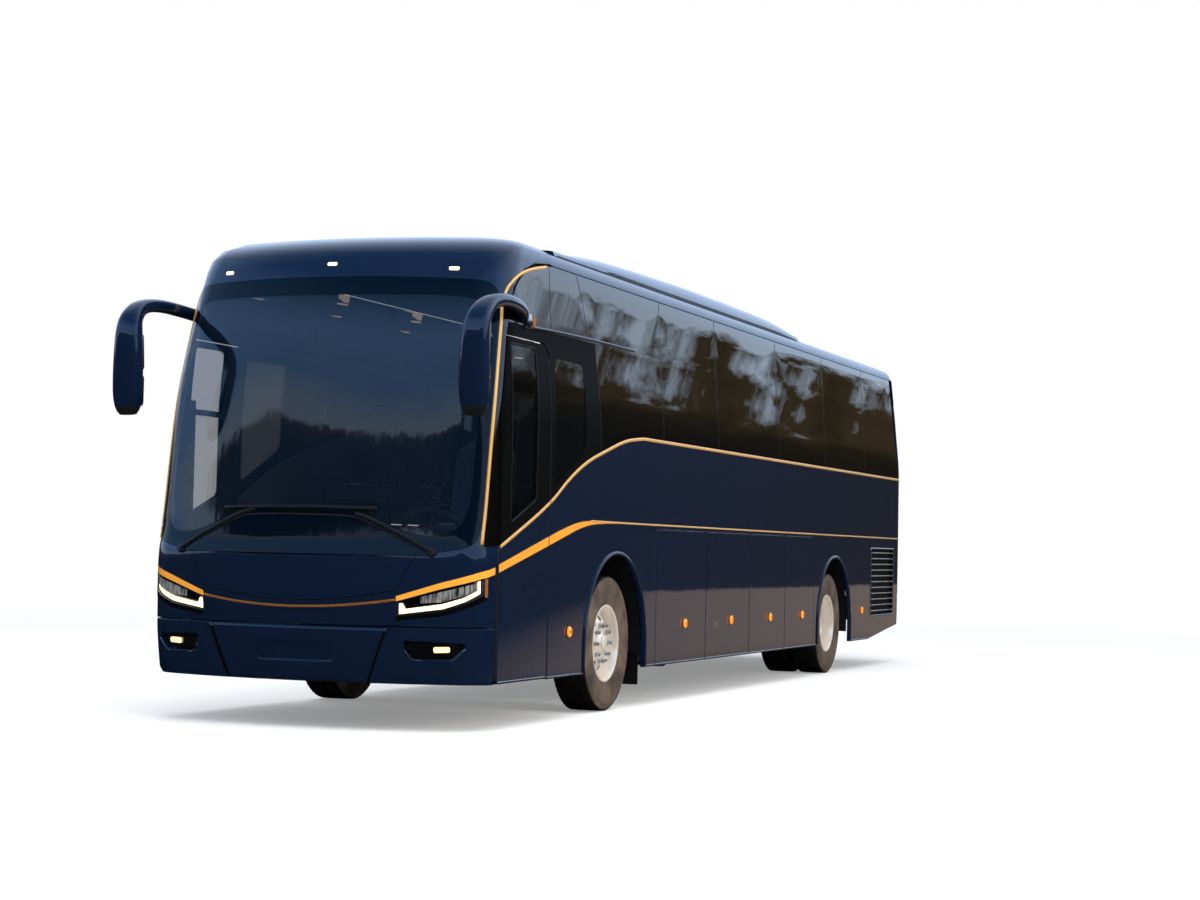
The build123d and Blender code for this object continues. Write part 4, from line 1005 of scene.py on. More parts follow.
def turnedDisc(name, profile, mapping, u, height, material, body="coach_body", lift=0.0):
    # a small round part turned from (depth along the normal, radius) points, seated on the surface
    (place, _), uv = mapping, np.array([[u, sAt(height)]])
    normal = surfaceNormals(mapping, uv)[0]
    here, normal = Vector(place(uv)[0] + normal * lift), Vector(normal)
    sideways = Vector(unit(place(uv + np.array([[0.002, 0]])) - place(uv))[0])
    other = normal.cross(sideways).normalized()
    sideways = other.cross(normal).normalized()
    points, faces = revolved(profile, 32, closed=False)
    places = [here + normal * p[0] + sideways * p[1] + other * p[2] for p in points]
    addPart(name, (places, [f[::-1] for f in faces]), [material], body=body)


for side, word in hands:
    outline = np.array(toS(sided(lampShape["outline"], side)))
    sheet("lampHousing" + word, shiftedLoop(outline, -0.012), frontSurface, [pianoBlack], lift=-0.036, depth=0.045,
          step=0.06, hides=["front_lamps"])
    sheet("lampStrip" + word, toS(sided(headlamp["strip"], side)), frontSurface, [ledWhite], lift=-0.012,
          depth=0.02, step=0.04, edge=0.002)
    sheet("lampBack" + word, toS(sided(headlamp["back"], side)), frontSurface, [fluted], lift=-0.030, depth=0.004,
          step=0.04, edge=0.001)
    sheet("lampSkirt" + word, toS(sided(headlamp["skirt"], side)), frontSurface, [frameBlack], lift=0.002,
          depth=0.003, step=0.05, edge=0.001)
    for number, (t, z, radius) in enumerate(headlamp["lenses"]):
        bowl = [(0.0, radius), (0.016, radius), (0.020, radius * 0.9), (0.012, radius * 0.8), (0.016, radius * 0.45),
                (0.018, 0.0001)]
        turnedDisc(f"lampLens{word}{number}", bowl, frontSurface, side * t, z, reflector, lift=-0.034)
    sheet("lampCover" + word, shiftedLoop(outline, 0.003), frontSurface, [lampCover], lift=-0.001, depth=0.004,
          step=0.08, edge=0.001)
    amber = toS(roundedOutline(sided(headlamp["amber"], side), 0.008))
    # the reflector's faint glow is a painted glint
    sheet("cornerReflector" + word, amber, frontSurface, [amberLens], lift=0.003, depth=0.006, step=0.05, edge=0.002)
for number, place in enumerate(headlamp["visorLamps"]):
    sheet(f"visorLamp{number}", pill(*place, *headlamp["visorLampHalf"], 0.011), frontSurface, [ledWhite],
          lift=0.006, depth=0.008, step=0.03, edge=0.003)
print("lamps made")


# Cowl and wipers on the foot of the windscreen

cowl = {
    # the black panel's top line, from the left foot over the middle to the right foot
    "edge": [(-0.985, 1.186), (-0.80, 1.268), (-0.46, 1.418), (-0.34, 1.440), (0.36, 1.440), (0.48, 1.412),
             (0.80, 1.262), (0.985, 1.186)],
    "foot": 1.176,
    "footHalf": 0.96,
    "longBlade": [(-0.59, 1.477), (-0.25, 1.486), (0.10, 1.491), (0.565, 1.485)],
    "longArm": [(-0.965, 1.194), (-0.80, 1.282), (-0.60, 1.375), (-0.46, 1.440), (-0.33, 1.474)],
    "shortArm": [(0.965, 1.204), (0.80, 1.290), (0.62, 1.375), (0.50, 1.428), (0.42, 1.450)],
    "pivot": 0.035,
}
cowlEdge = toS(softened(cowl["edge"], 2))
footS = sAt(cowl["foot"])
cowlPanel = cowlEdge + [(t, footS) for t in np.linspace(cowl["footHalf"], -cowl["footHalf"], 12)]
sheet("cowlPanel", cowlPanel, frontSurface, [screenFrit], lift=0.004, depth=0.005, step=0.08, edge=0.002)
strip("cowlEdge", cowlEdge, frontSurface, blackPlastic, 0.018, 0.012)
made = strip("longWiperBlade", toS(cowl["longBlade"]), frontSurface, blackPlastic, 0.022, 0.024)
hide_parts("wipers")
strip("longWiperRubber", toS(cowl["longBlade"]), frontSurface, sealRubber, 0.036, 0.006)
for tag, line in (("long", cowl["longArm"]), ("short", cowl["shortArm"])):
    strip(tag + "WiperArm", toS(softened(line, 1)), frontSurface, blackPlastic, 0.034, 0.022)
    knob = [(0.0, cowl["pivot"]), (0.018, cowl["pivot"] * 0.8), (0.024, 0.0001)]
    turnedDisc(tag + "WiperPivot", knob, frontSurface, *line[0], blackPlastic)
print("wipers made")


# Sides: walls, doors, flaps, stripes and the glass band

flapSeams = [3.93, 5.30, 6.65, 7.89, 9.00]
flapTop = 1.425
sides = {
    "doorRear": 1.50,
    "rearSeam": 12.86,
    "gap": 0.003,
    # the sill rises behind the rear wheel: where that starts and its end's height
    "riseStart": 11.375,
    "riseEnd": 0.448,
    "stripeTop": [(0.50, 1.117), (1.45, 1.324), (1.80, 1.397), (2.10, 1.447), (2.43, 1.462), (3.0, 1.459)],
    "stripeLow": [(0.50, 1.062), (1.45, 1.258), (1.80, 1.333), (2.10, 1.397), (2.43, 1.440), (3.0, 1.449)],
    "thinLine": [(2.35, 1.458), (3.0, 1.455), (12.852, 1.444)],
    "grille": (11.50, 12.63, 0.565, 1.33),
    "slats": 11,
    "markers": [1.92, 11.07],
    "markerHeight": 0.64,
    "beltWidth": 0.026,
    "beltEnd": 12.853,
    "waistWidth": 0.014,
    "dripRail": [(1.02, 2.785), (1.25, 2.806), (2.3, 2.826), (3.39, 2.828)],
    # bright line along the sill: its height and the stretches of the fixed wall that have it
    "sillLine": 0.324,
    "sillRuns": [(1.504, 2.262), (3.658, 3.926), (9.004, 9.162), (10.558, 11.37)],
    # recessed catches on two of the flaps
    "catches": {1: (5.50, 5.68, 0.58, 0.63), 3: (8.46, 8.53, 0.86, 0.96)},
}
glassBand = {
    "rear": 12.84,
    # at the door's rear corner: height over the door, height behind it and how far before the seam it steps
    "doorHead": (2.706, 2.62, 0.09),
    "topRear": 12.56,
    "frontArc": [(0.716, 2.706), (0.80, 2.93), (0.92, 3.09), (1.12, 3.20), (1.36, 3.262), (1.64, 3.285)],
    "seams": [2.30, 4.05, 5.60, 7.60, 9.40, 11.15, 12.62],
    "border": (0.045, 0.055),   # black border beside and below each pane
    "paneTop": 3.215,
    "rearLean": 0.24,   # how far the last pane's rear edge leans forward
    "sealTop": 3.28,
    "frontPane": [(0.86, 2.88), (1.05, 3.10), (1.40, 3.20), (2.235, 3.215), (2.235, 2.88)],
    # satin frame of the quarter window: its run along the belt, its outline above and its rear edge's top
    "frameRun": (1.40, 2.545),
    "frame": [(2.465, 2.80), (0.60, 2.80), (0.60, 2.62), (1.40, 2.62)],
    "frameTop": (2.468, 2.79),
    "quarterWindow": [(1.585, 1.70), (2.20, 1.98), (2.20, 2.62), (1.585, 2.62)],
    "frontSeals": [[(2.30, 2.85), (2.25, 3.05), (2.12, 3.27)], [(1.55, 2.83), (1.55, 3.262)]],
}
beltSoft = softened(beltLine[:-1], 3) + [beltLine[-1]]


def stretch(line, start, end):
    # the part of a line between two distances
    xs, ys = [p[0] for p in line], [p[1] for p in line]
    inner = [p for p in line if start < p[0] < end]
    return [(start, float(np.interp(start, xs, ys)))] + inner + [(end, float(np.interp(end, xs, ys)))]


def goldRegion():
    # the gold stripe between its upper and its lower line
    return toS(softened(sides["stripeTop"], 2) + softened(sides["stripeLow"], 2)[::-1])


def marker(name, side, distance, body="coach_body"):
    # a round amber side lamp with a dark middle, on a thin black seat
    surface = sideMap(side)
    seat = [(0.0, 0.045), (0.005, 0.044), (0.006, 0.038)]
    dome = [(0.004, 0.040), (0.015, 0.038), (0.021, 0.029), (0.0225, 0.013)]
    dot = [(0.0222, 0.0135), (0.0230, 0.009), (0.0232, 0.0001)]
    for word, profile, material in (("Seat", seat, blackPlastic), ("Dome", dome, amberLamp), ("Dot", dot, pianoBlack)):
        turnedDisc(name + word, profile, surface, distance, sides["markerHeight"], material, body)


def wallOutline():
    gap, foot = sides["gap"], coach["sill"] + 0.003
    line = [(sides["doorRear"] + gap, foot)]
    line += archLine(coach["frontAxle"], coach["archRadius"], foot)
    line += [(flapSeams[0], foot), (flapSeams[0], flapTop), (flapSeams[-1], flapTop), (flapSeams[-1], foot)]
    line += archLine(coach["rearAxle"], coach["archRadius"], foot)
    line += [(sides["riseStart"], foot), (sides["rearSeam"] - gap, sides["riseEnd"])]
    belt = stretch(beltSoft, sides["doorRear"] + gap, glassBand["rear"])
    return toS(line + [(sides["rearSeam"] - gap, coach["belt"])] + belt[::-1])


def glassOutline():
    gap = sides["gap"]
    front = softened(glassBand["frontArc"], 2)
    belt = stretch(beltSoft, sides["doorRear"] + gap, glassBand["rear"])
    overDoor, besideDoor, before = glassBand["doorHead"]
    head = [(sides["doorRear"] - before, overDoor), (sides["doorRear"] + gap, besideDoor)]
    return toS(belt + [(glassBand["topRear"], coach["bandTop"])] + front[::-1] + head)


def paneRegions():
    # the clear part of each pane, inside its black border
    panes, (beside, below), top = [], glassBand["border"], glassBand["paneTop"]
    for front, rear in zip(glassBand["seams"], glassBand["seams"][1:]):
        a, b = front + beside, rear - beside
        low = [(d, float(beltAt(d)) + below) for d in np.linspace(a, b, 6)]
        back = glassBand["rearLean"] if rear == glassBand["seams"][-1] else 0.0
        panes.append(roundedOutline(low + [(b - back, top), (a, top)], 0.05))
    panes.append(roundedOutline(glassBand["frontPane"], 0.06))
    # satin frame round a clear quarter window behind the cab door
    frame = toS(stretch(beltSoft, *glassBand["frameRun"]) + glassBand["frame"])
    quarter = roundedOutline(glassBand["quarterWindow"], 0.06)
    return [(toS(p), 1) for p in panes] + [(frame, 2), (toS(quarter), 3)]


def louvres(name, mapping, zone, count, material, body="coach_body", lift=0.0, share=0.42):
    # a dark backing, a frame and evenly spaced slats; share is the part of the pitch that a slat covers
    u0, u1, z0, z1 = zone
    sheet(name + "Back", toS(box(*zone)), mapping, [frameBlack], body, lift=-0.020 + lift, depth=0.03, step=0.15)
    pitch = (z1 - z0 - 0.05) / count
    for k in range(count):
        z = z0 + 0.025 + (k + 0.5) * pitch
        strip(f"{name}Slat{k}", toS([(u0 + 0.02, z), (u1 - 0.02, z)]), mapping, material, pitch * share,
              0.004 + lift, body, step=0.3, sunk=(0.016 - lift) * min(1.0, share / 0.42))
    border = roundedOutline(box(u0 + 0.006, u1 - 0.006, z0 + 0.006, z1 - 0.006), 0.02)
    strip(name + "Frame", toS(border), mapping, material, 0.014, 0.006 + lift, body, closed=True)


def sillLine(name, surface, start, end, body="coach_body"):
    strip(name, toS([(start, sides["sillLine"]), (end, sides["sillLine"])]), surface, satinSilver, 0.013, 0.003, body)


def luggageFlap(side, tag, number, front, rear):
    # one flap's skin with its marker lamp, sill line and catch
    body = f"flap_{tag.lower()}_{number + 1}"
    surface, name = sideMap(side), f"{tag}{number}"
    outline = toS(box(front, rear, coach["sill"] + 0.003, flapTop - 0.008))
    sheet("flapSkin" + name, outline, surface, [paint, blackPlastic], body, step=0.14, depth=0.03, hides=[body],
          innerSlot=1)
    marker("flapMarker" + name, side, (front + rear) / 2 + 0.08, body)
    sillLine("flapSill" + name, surface, front + 0.004, rear - 0.004, body)
    if number in sides["catches"]:
        catch = roundedOutline(box(*sides["catches"][number]), 0.008)
        sheet("flapCatch" + name, toS(catch), surface, [pianoBlack], body, lift=0.002, depth=0.004, step=0.05,
              edge=0.002)


for side, tag in hands:
    surface = sideMap(side)
    sheet("wallSkin" + tag, wallOutline(), surface, [paint, gold, cabinTrim], holes=[toS(box(*sides["grille"]))],
          regions=[(goldRegion(), 1)], step=0.13, depth=0.03, hides=["side_wall_" + tag.lower()], innerSlot=2)
    louvres("sideLouvre" + tag, surface, sides["grille"], sides["slats"], satinSilver, share=0.22)
    sheet("glassBand" + tag, glassOutline(), surface, [frit, sideGlassTint, frameBlack, doorTint],
          regions=paneRegions(), step=0.16, depth=0.006, edge=0.002, hides=["side_glass_" + tag.lower()],
          innerSlot=1)
    top, foot = glassBand["sealTop"], glassBand["frameRun"][1]
    seals = [[(seam, float(beltAt(seam)) + 0.012), (seam, top)] for seam in glassBand["seams"][1:-1]]
    for number, line in enumerate(seals + glassBand["frontSeals"]):
        strip(f"paneSeal{tag}{number}", toS(line), surface, sealRubber, 0.009, 0.0012)
    edge = [glassBand["frameTop"], (foot, float(beltAt(foot)) + 0.014)]
    strip("frameEdge" + tag, toS(edge), surface, blackPlastic, 0.011, 0.0016)
    beltBody = stretch(beltSoft, sides["doorRear"] + sides["gap"], sides["beltEnd"])
    strip("beltMoulding" + tag, toS(beltBody), surface, goldMoulding, sides["beltWidth"], 0.006)
    strip("waistLine" + tag, toS(sides["thinLine"]), surface, goldMoulding, sides["waistWidth"], 0.003)
    strip("dripRail" + tag, toS(softened(sides["dripRail"], 2)), surface, paint, 0.020, 0.012)
    for axle in ("frontAxle", "rearAxle"):
        lip = archLine(coach[axle], coach["archRadius"] + 0.016, 0.325)
        strip(f"archLip{tag}{axle}", toS(lip), surface, paint, 0.030, 0.012)
    for start, end in sides["sillRuns"]:
        sillLine(f"sillEdge{tag}{start:.2f}", surface, start, end)
    for distance in sides["markers"]:
        marker(f"marker{tag}{distance:.0f}", side, distance)
    for number, (start, end) in enumerate(zip(flapSeams, flapSeams[1:])):
        luggageFlap(side, tag, number, start + 0.005, end - 0.005)
print("sides made")


# Doors: the driver's on the left and the passengers' on the right, each with its own glass and stripe

door = {
    "front": 0.568,
    "rear": 1.497,
    "foot": 0.319,
    "head": 2.697,
    "frontHead": (0.718, 2.135),   # top of the front edge: distance over it, height where it starts to lean
    "cornerCut": 0.09,
    "window": [(0.745, 1.415), (1.225, 1.587), (1.225, 2.655), (0.745, 2.655)],
    # the black field round the window, from the belt up
    "blackRun": (0.56, 1.51),
    "blackTop": [(1.51, 2.75), (0.55, 2.75)],
    "sillLine": [(0.575, 0.330), (1.49, 0.330)],
    "rearSeal": [(1.488, 0.335), (1.488, 2.60)],
}


def doorOutline():
    lean, leanFrom = door["frontHead"]
    cut = door["cornerCut"]
    line = [(door["front"], door["foot"]), (door["rear"], door["foot"]), (door["rear"], door["head"] - cut),
            (door["rear"] - cut, door["head"]), (lean, door["head"]), (door["front"], leanFrom)]
    return toS(line)


for side, body, tag in ((1, "driver_door", "Driver"), (-1, "front_door", "Front")):
    surface = sideMap(side)
    window = toS(roundedOutline(door["window"], 0.05))
    black = toS(stretch(beltSoft, *door["blackRun"]) + door["blackTop"])
    sheet("doorSkin" + tag, doorOutline(), surface, [paint, gold, frameBlack, darkTrim], body, holes=[window],
          regions=[(goldRegion(), 1), (black, 2)], step=0.11, depth=0.035, hides=[body], innerSlot=3)
    pane = shiftedLoop(finePath(window, 0.1, True), 0.002)
    sheet("doorGlass" + tag, pane, surface, [doorTint], body, lift=-0.002, depth=0.006, step=0.12, edge=0.001,
          hides=[body + "_glass"])
    strip("doorWindowSeal" + tag, window, surface, sealRubber, 0.014, 0.003, body, closed=True)
    belt = stretch(beltSoft, door["front"] + 0.004, door["rear"] - 0.002)
    strip("doorBelt" + tag, toS(belt), surface, goldMoulding, sides["beltWidth"], 0.006, body)
    strip("doorSill" + tag, toS(door["sillLine"]), surface, satinSilver, 0.013, 0.003, body)
    strip("doorSeam" + tag, toS(door["rearSeal"]), surface, sealRubber, 0.013, 0.0008, body)
print("doors made")


# Trim round the windscreen corner, up and over the side band

cornerTrim = {
    "front": [(1.300, 1.262), (1.305, 1.56), (1.303, 2.19), (1.298, 2.60), (1.286, 2.85)],
    "over": [(0.700, 2.90), (0.748, 3.00), (0.84, 3.09), (1.00, 3.165), (1.22, 3.222), (1.50, 3.268)],
    "width": 0.026,
    "gapAt": 0.538,
    "gapWidth": 0.034,
    "gapHeights": (0.335, 1.24),
}


def cornerTrimPath():
    line = toS(cornerTrim["front"])
    for d, z in cornerTrim["over"]:
        s = sAt(z)
        line.append((roundAt(d, s), s))
    return softened(line, 3)


for side, word in hands:
    path = [(side * p[0], p[1]) for p in cornerTrimPath()]
    strip("cornerTrim" + word, path, frontSurface, goldMoulding, cornerTrim["width"], 0.006, step=0.04)
    heights = np.linspace(*cornerTrim["gapHeights"], 14)
    gapLine = [(side * roundAt(cornerTrim["gapAt"], sAt(z)), sAt(z)) for z in heights]
    strip("doorFrontSeal" + word, gapLine, frontSurface, sealRubber, cornerTrim["gapWidth"], 0.002)
print("corner trim made")


# Roof with its side fairings, cooling unit and hatches

roof = {
    "front": 1.603,
    "rear": 12.857,
    "hatches": [("roof_hatch_front", 3.30), ("roof_hatch_rear", 10.20)],
    "hatchHalf": (0.33, 0.28),
    "fairingTop": [(1.80, 3.436), (2.10, 3.452), (2.60, 3.492), (2.97, 3.514), (4.20, 3.545), (5.60, 3.559),
                   (7.09, 3.553), (8.03, 3.537), (8.45, 3.505), (8.70, 3.470)],
    "fairingSection": [(1.118, 0.0), (1.128, 0.06), (1.118, 0.22), (1.075, 0.62), (1.03, 0.88), (0.97, 1.0),
                       (0.86, 1.02), (0.74, 0.95), (0.66, 0.60)],
    "fairingFoot": 3.424,
    "fairingSeat": (1.148, 3.387),
    # painted shadow along the fairing's foot, a black strip where the fairing shades the roof: its upper end, then how
    # much of the way up it reaches by distance
    "shadowHigh": (1.128, 3.4255),
    "shadowShare": [(1.85, 0.25), (2.90, 0.25), (3.05, 0.78), (7.90, 0.78), (8.60, 0.25)],
    # the cooling unit's three fans: distances of their middles, then sizes of wire guard and hub
    "fans": [5.45, 6.15, 6.85],
    "fanRecess": 0.245,
    "guardRings": [0.045, 0.085, 0.125, 0.165, 0.205, 0.243],
    "guardWire": 0.0035,
    "guardTop": 3.638,
    "guardSpokes": 8,
    "fanHub": (0.040, 3.606, 3.632),
}
roofSurface = roofMap()
edgeP = float(roofP(float(widthOf(sAt(3.289)))))
hatchHoles = []
for _, d in roof["hatches"]:
    hx, hd = roof["hatchHalf"]
    hp = float(roofP(hx))
    hatchHoles.append(box(-hp, hp, d - hd, d + hd))
sheet("roofSkin", box(-edgeP, edgeP, roof["front"], roof["rear"]), roofSurface, [paint, cabinTrim],
      holes=hatchHoles, step=0.14, depth=0.03, hides=["roof"], innerSlot=1)


def ruled(rows):
    # a closed skin over equally long rows of points, capped at both ends
    many, last = len(rows[0]), (len(rows) - 1) * len(rows[0])
    faces = []
    for i in range(0, last, many):
        faces += [(i + k, i + many + k, i + many + (k + 1) % many, i + (k + 1) % many) for k in range(many)]
    faces += [tuple(range(many)), tuple(reversed(range(last, last + many)))]
    return [p for row in rows for p in row], faces


def fairingPart():
    tops = smoothCurve([p[0] for p in roof["fairingTop"]], [p[1] for p in roof["fairingTop"]])
    foot, (seatX, seatZ) = roof["fairingFoot"], roof["fairingSeat"]
    rows = []
    for d in np.linspace(roof["fairingTop"][0][0], roof["fairingTop"][-1][0], 60):
        top = float(tops(d))
        row = [(x, noseY + d, foot + share * (top - foot)) for x, share in roof["fairingSection"]]
        rows.append([(seatX, noseY + d, seatZ)] + row[1:])
    return ruled(rows)


def fairingShadow():
    # painted shadow: a black strip along the fairing's lower edge, where the fairing shades the roof, wider behind the
    # step in its front end
    low, high = np.array(roof["fairingSeat"]), np.array(roof["shadowHigh"])
    run = high - low
    outward = np.array([run[1], -run[0]]) / np.linalg.norm(run)
    ends, shares = zip(*roof["shadowShare"])
    rows = []
    for d in np.linspace(ends[0], ends[-1], 70):
        foot, head = low - 0.1 * run, low + float(np.interp(d, ends, shares)) * run
        ring = (foot + 0.003 * outward, head + 0.003 * outward, head - 0.001 * outward, foot - 0.001 * outward)
        rows.append([(x, noseY + d, z) for x, z in ring])
    return ruled(rows)


for side, word in hands:
    # a black strip of painted shadow under each fairing
    addPart("fairingShadow" + word, moved(fairingShadow(), side=side), [sealRubber])
    addPart("roofFairing" + word, moved(fairingPart(), side=side), [paint], 50, hides=["roof_fairings"])


def upright(part, distance):
    # a part turned about X, stood upright on the coach's middle line
    points, faces = part
    return [(p[1], noseY + distance + p[2], p[0]) for p in points], faces


def fanGuard(distance):
    # flat wire rings on spokes over a fan recess
    wire, top = roof["guardWire"], roof["guardTop"]
    pieces = []
    for radius in roof["guardRings"]:
        inner, outer = radius - wire, radius + wire
        ring = revolved([(top, inner), (top, outer), (top - 2 * wire, outer), (top - 2 * wire, inner)], 48)
        points, faces = upright(ring, distance)
        pieces.append((points, [f[::-1] for f in faces]))
    for a in turns(roof["guardSpokes"]):
        c, s = math.cos(a), math.sin(a)
        points, faces = boxMesh(0.02, roof["guardRings"][-1], -wire, wire, top - 4 * wire, top - 2 * wire)
        flat = [(x, y - noseY, z) for x, y, z in points]
        pieces.append(([(x * c - y * s, x * s + y * c + noseY + distance, z) for x, y, z in flat], faces))
    return joinMeshes(pieces)


hubRadius, hubFoot, hubTop = roof["fanHub"]
hubRows = [(hubFoot, roof["fanRecess"]), (hubFoot, hubRadius), (hubTop, hubRadius * 0.9), (hubTop, 0.0001)]
for number, distance in enumerate(roof["fans"]):
    addPart(f"fanGuard{number}", fanGuard(distance), [blackPlastic])
    addPart(f"fanHub{number}", upright(revolved(hubRows, 48, closed=False), distance), [darkTrim])
print("roof made")


# Rear end: cap, bumper, engine lid with its louvres, window and lamps

rear = {
    "seamDepth": 0.252,
    "capFoot": 0.773,
    "bumperTop": 0.767,
    "bumperFoot": 0.475,
    "lid": [(-0.797, 0.803), (0.797, 0.803), (0.797, 1.947), (-0.797, 1.947)],
    "lidHole": [(-0.803, 0.797), (0.803, 0.797), (0.803, 1.953), (-0.803, 1.953)],
    "window": [(-0.96, 2.22), (0.96, 2.22), (0.90, 3.0), (-0.90, 3.0)],
    "clear": [(-0.88, 2.29), (0.88, 2.29), (0.83, 2.93), (-0.83, 2.93)],
    "lamp": [(1.03, 0.90), (1.20, 0.90), (1.20, 1.56), (1.06, 1.56)],
    # lamp chambers: lowest and highest place, then the inner edge's line (place, lean, the height where it
    # starts and the height over which it leans) and the outer edge
    "chambers": [(0.93, 1.12), (1.15, 1.29), (1.32, 1.53)],
    "chamberInner": (1.055, 0.03, 0.9, 0.66),
    "chamberOuter": 1.18,
    "louvre": (-0.56, 0.56, 0.90, 1.42),
    "slats": 8,
    # the side's gold lines run on round the corner: height, width and where they stop
    "lines": (("belt", 2.128, 0.018, 1.06), ("waist", 1.443, 0.011, 1.215)),
    "markers": [(0.95, 3.10), (0.95, 0.66)],
    "markerHalf": (0.04, 0.012),
}
rearSurface = endMap(True)


def rearSide(low, high):
    zs = np.linspace(low, high, 24)
    return [(roundAt(rear["seamDepth"], sAt(z), True), sAt(z)) for z in zs]


def rearCapHalf():
    line = rearSide(rear["capFoot"], front["roofEdge"])
    topS = sAt(front["roofEdge"])
    lastS = float(np.interp(rear["seamDepth"], setInOf(fineS), fineS))
    for k in range(1, 25):
        s = topS + (lastS - topS) * (1 - (1 - k / 24) ** 2)   # closer together towards the roof seam
        line.append((roundAt(rear["seamDepth"], s, True), s))
    return line


capHalf = rearCapHalf()
windowOutline = toS(roundedOutline(rear["window"], 0.06))
lampLoops = [toS(roundedOutline(sided(rear["lamp"], side), 0.03)) for side, _ in hands]
rearHoles = [toS(roundedOutline(rear["lidHole"], 0.04)), windowOutline] + lampLoops
sheet("rearCapSkin", bothSides(capHalf), rearSurface, [paint, cabinTrim], holes=rearHoles, step=0.11,
      depth=0.03, hides=["rear_cap"], innerSlot=1)
bumperRear = rearSide(rear["bumperFoot"], rear["bumperTop"])
sheet("rearBumperSkin", bothSides(bumperRear), rearSurface, [paint, blackPlastic], step=0.10,
      depth=0.03, hides=["rear_bumper"], innerSlot=1)
sheet("rearWindowSheet", windowOutline, rearSurface, [frit, sideGlassTint],
      regions=[(toS(roundedOutline(rear["clear"], 0.05)), 1)], lift=0.001, depth=0.007, step=0.12, edge=0.002,
      hides=["rear_window"], innerSlot=1)
sheet("engineLidSkin", toS(roundedOutline(rear["lid"], 0.04)), rearSurface, [paint, blackPlastic], "engine_lid",
      step=0.11, depth=0.03, hides=["engine_lid"], innerSlot=1)
louvres("lidLouvre", rearSurface, rear["louvre"], rear["slats"], paint, "engine_lid", lift=0.006)
innerFoot, innerLean, leanFoot, leanRun = rear["chamberInner"]
for (side, word), loop in zip(hands, lampLoops):
    sheet("tailLampBase" + word, loop, rearSurface, [pianoBlack], lift=-0.030, depth=0.04, step=0.08,
          hides=["tail_lamps"])
    for number, ((low, high), glow) in enumerate(zip(rear["chambers"], (redLamp, amberLamp, redLamp))):
        inner = innerFoot + innerLean * (low - leanFoot) / leanRun
        cell = roundedOutline(sided(box(inner, rear["chamberOuter"], low, high), side), 0.02)
        sheet(f"tailLamp{word}{number}", toS(cell), rearSurface, [glow], lift=-0.006, depth=0.02, step=0.05,
              edge=0.004)
for side, word in hands:
    for tag, height, width, stop in rear["lines"]:
        s = sAt(height)
        start = roundAt(rear["seamDepth"] - 0.004, s, True)
        path = [(side * t, s) for t in np.linspace(start, stop, 9)]
        strip(f"{tag}Rear{word}", path, rearSurface, goldMoulding, width, 0.004)
    for t, height in rear["markers"]:
        sheet(f"rearMarker{word}{height:.1f}", pill(side * t, height, *rear["markerHalf"], 0.01), rearSurface,
              [redLamp], lift=0.006, depth=0.008, step=0.04, edge=0.003)
print("rear made")


# Mirrors: one swept shape from the root over the door, forward and down into the head

mirror = {
    # rows from the root to the head's foot: x, distance, height, half width, half depth
    "rows": [(1.185, 1.10, 2.838, 0.030, 0.042), (1.255, 0.98, 2.868, 0.034, 0.045),
             (1.315, 0.72, 2.902, 0.040, 0.045), (1.335, 0.42, 2.915, 0.046, 0.045),
             (1.330, 0.16, 2.880, 0.058, 0.051), (1.318, 0.025, 2.785, 0.078, 0.064),
             (1.308, -0.010, 2.690, 0.091, 0.074), (1.304, -0.016, 2.560, 0.099, 0.078),
             (1.303, -0.016, 2.36, 0.103, 0.079), (1.304, -0.010, 2.22, 0.101, 0.072),
             (1.306, 0.002, 2.145, 0.086, 0.055), (1.306, 0.010, 2.112, 0.061, 0.034)],
    "squareness": 0.72,   # 1 gives round sections, less gives squarer ones
    "segments": 28,
    # the main glass and the wide-angle glass under it, as (x, height), and how far behind the nose they lie
    "glass": [(1.222, 2.42), (1.385, 2.42), (1.388, 2.66), (1.235, 2.68)],
    "wide": [(1.222, 2.17), (1.385, 2.17), (1.385, 2.39), (1.222, 2.39)],
    "glassAt": 0.060,
    "glassThickness": 0.006,
    "footTop": 2.17,   # below this the head is black
    "rootPlate": [(0.0, 0.055), (0.02, 0.05), (0.03, 0.035), (0.034, 0.0001)],
    # amber side lamp on the body behind the arm's root: X, distance and height ranges
    "sideLamp": (1.215, 1.262, 1.112, 1.168, 2.800, 2.872),
}


def mirrorShell(side, word):
    rows = np.array(softened(mirror["rows"], 2))
    centres = np.stack([rows[:, 0], noseY + rows[:, 1], rows[:, 2]], 1)
    along = unit(np.gradient(centres, axis=0))
    count, power = mirror["segments"], mirror["squareness"]
    points, slots = [], []
    for centre, direction, (wide, deep) in zip(centres, along, rows[:, 3:]):
        sideways = np.array([1.0, 0.0, 0.0]) - direction * direction[0]
        sideways /= np.linalg.norm(sideways)
        other = np.cross(direction, sideways)
        for a in turns(count):
            c, s = math.cos(a), math.sin(a)
            u, v = math.copysign(abs(c) ** power, c), math.copysign(abs(s) ** power, s)
            points.append(tuple(centre + sideways * u * wide + other * v * deep))
    rings = len(rows)
    for i in range(rings - 1):
        height = (points[i * count][2] + points[(i + 1) * count][2]) / 2
        slots += [1 if height < mirror["footTop"] and i > rings / 2 else 0] * count
    faces = gridFaces(rings, count)
    faces += [tuple(reversed(range(count))), tuple(range((rings - 1) * count, rings * count))]
    slots += [0, 1]
    addPart("mirrorShell" + word, moved((points, faces), side=side), [paint, blackPlastic], 50, faceMaterials=slots,
            hides=["mirrors"])


def flatPane(name, outline, distance, side, material):
    points = [(side * x, noseY + distance, z) for x, z in outline]
    back = [(p[0], p[1] + mirror["glassThickness"], p[2]) for p in points]
    count = len(points)
    faces = [tuple(range(count)), tuple(reversed(range(count, 2 * count)))]
    faces += [(k, k + count, (k + 1) % count + count, (k + 1) % count) for k in range(count)]
    if side < 0:
        faces = [tuple(reversed(f)) for f in faces]
    makeObject(name, points + back, faces, [material], smooth=False)


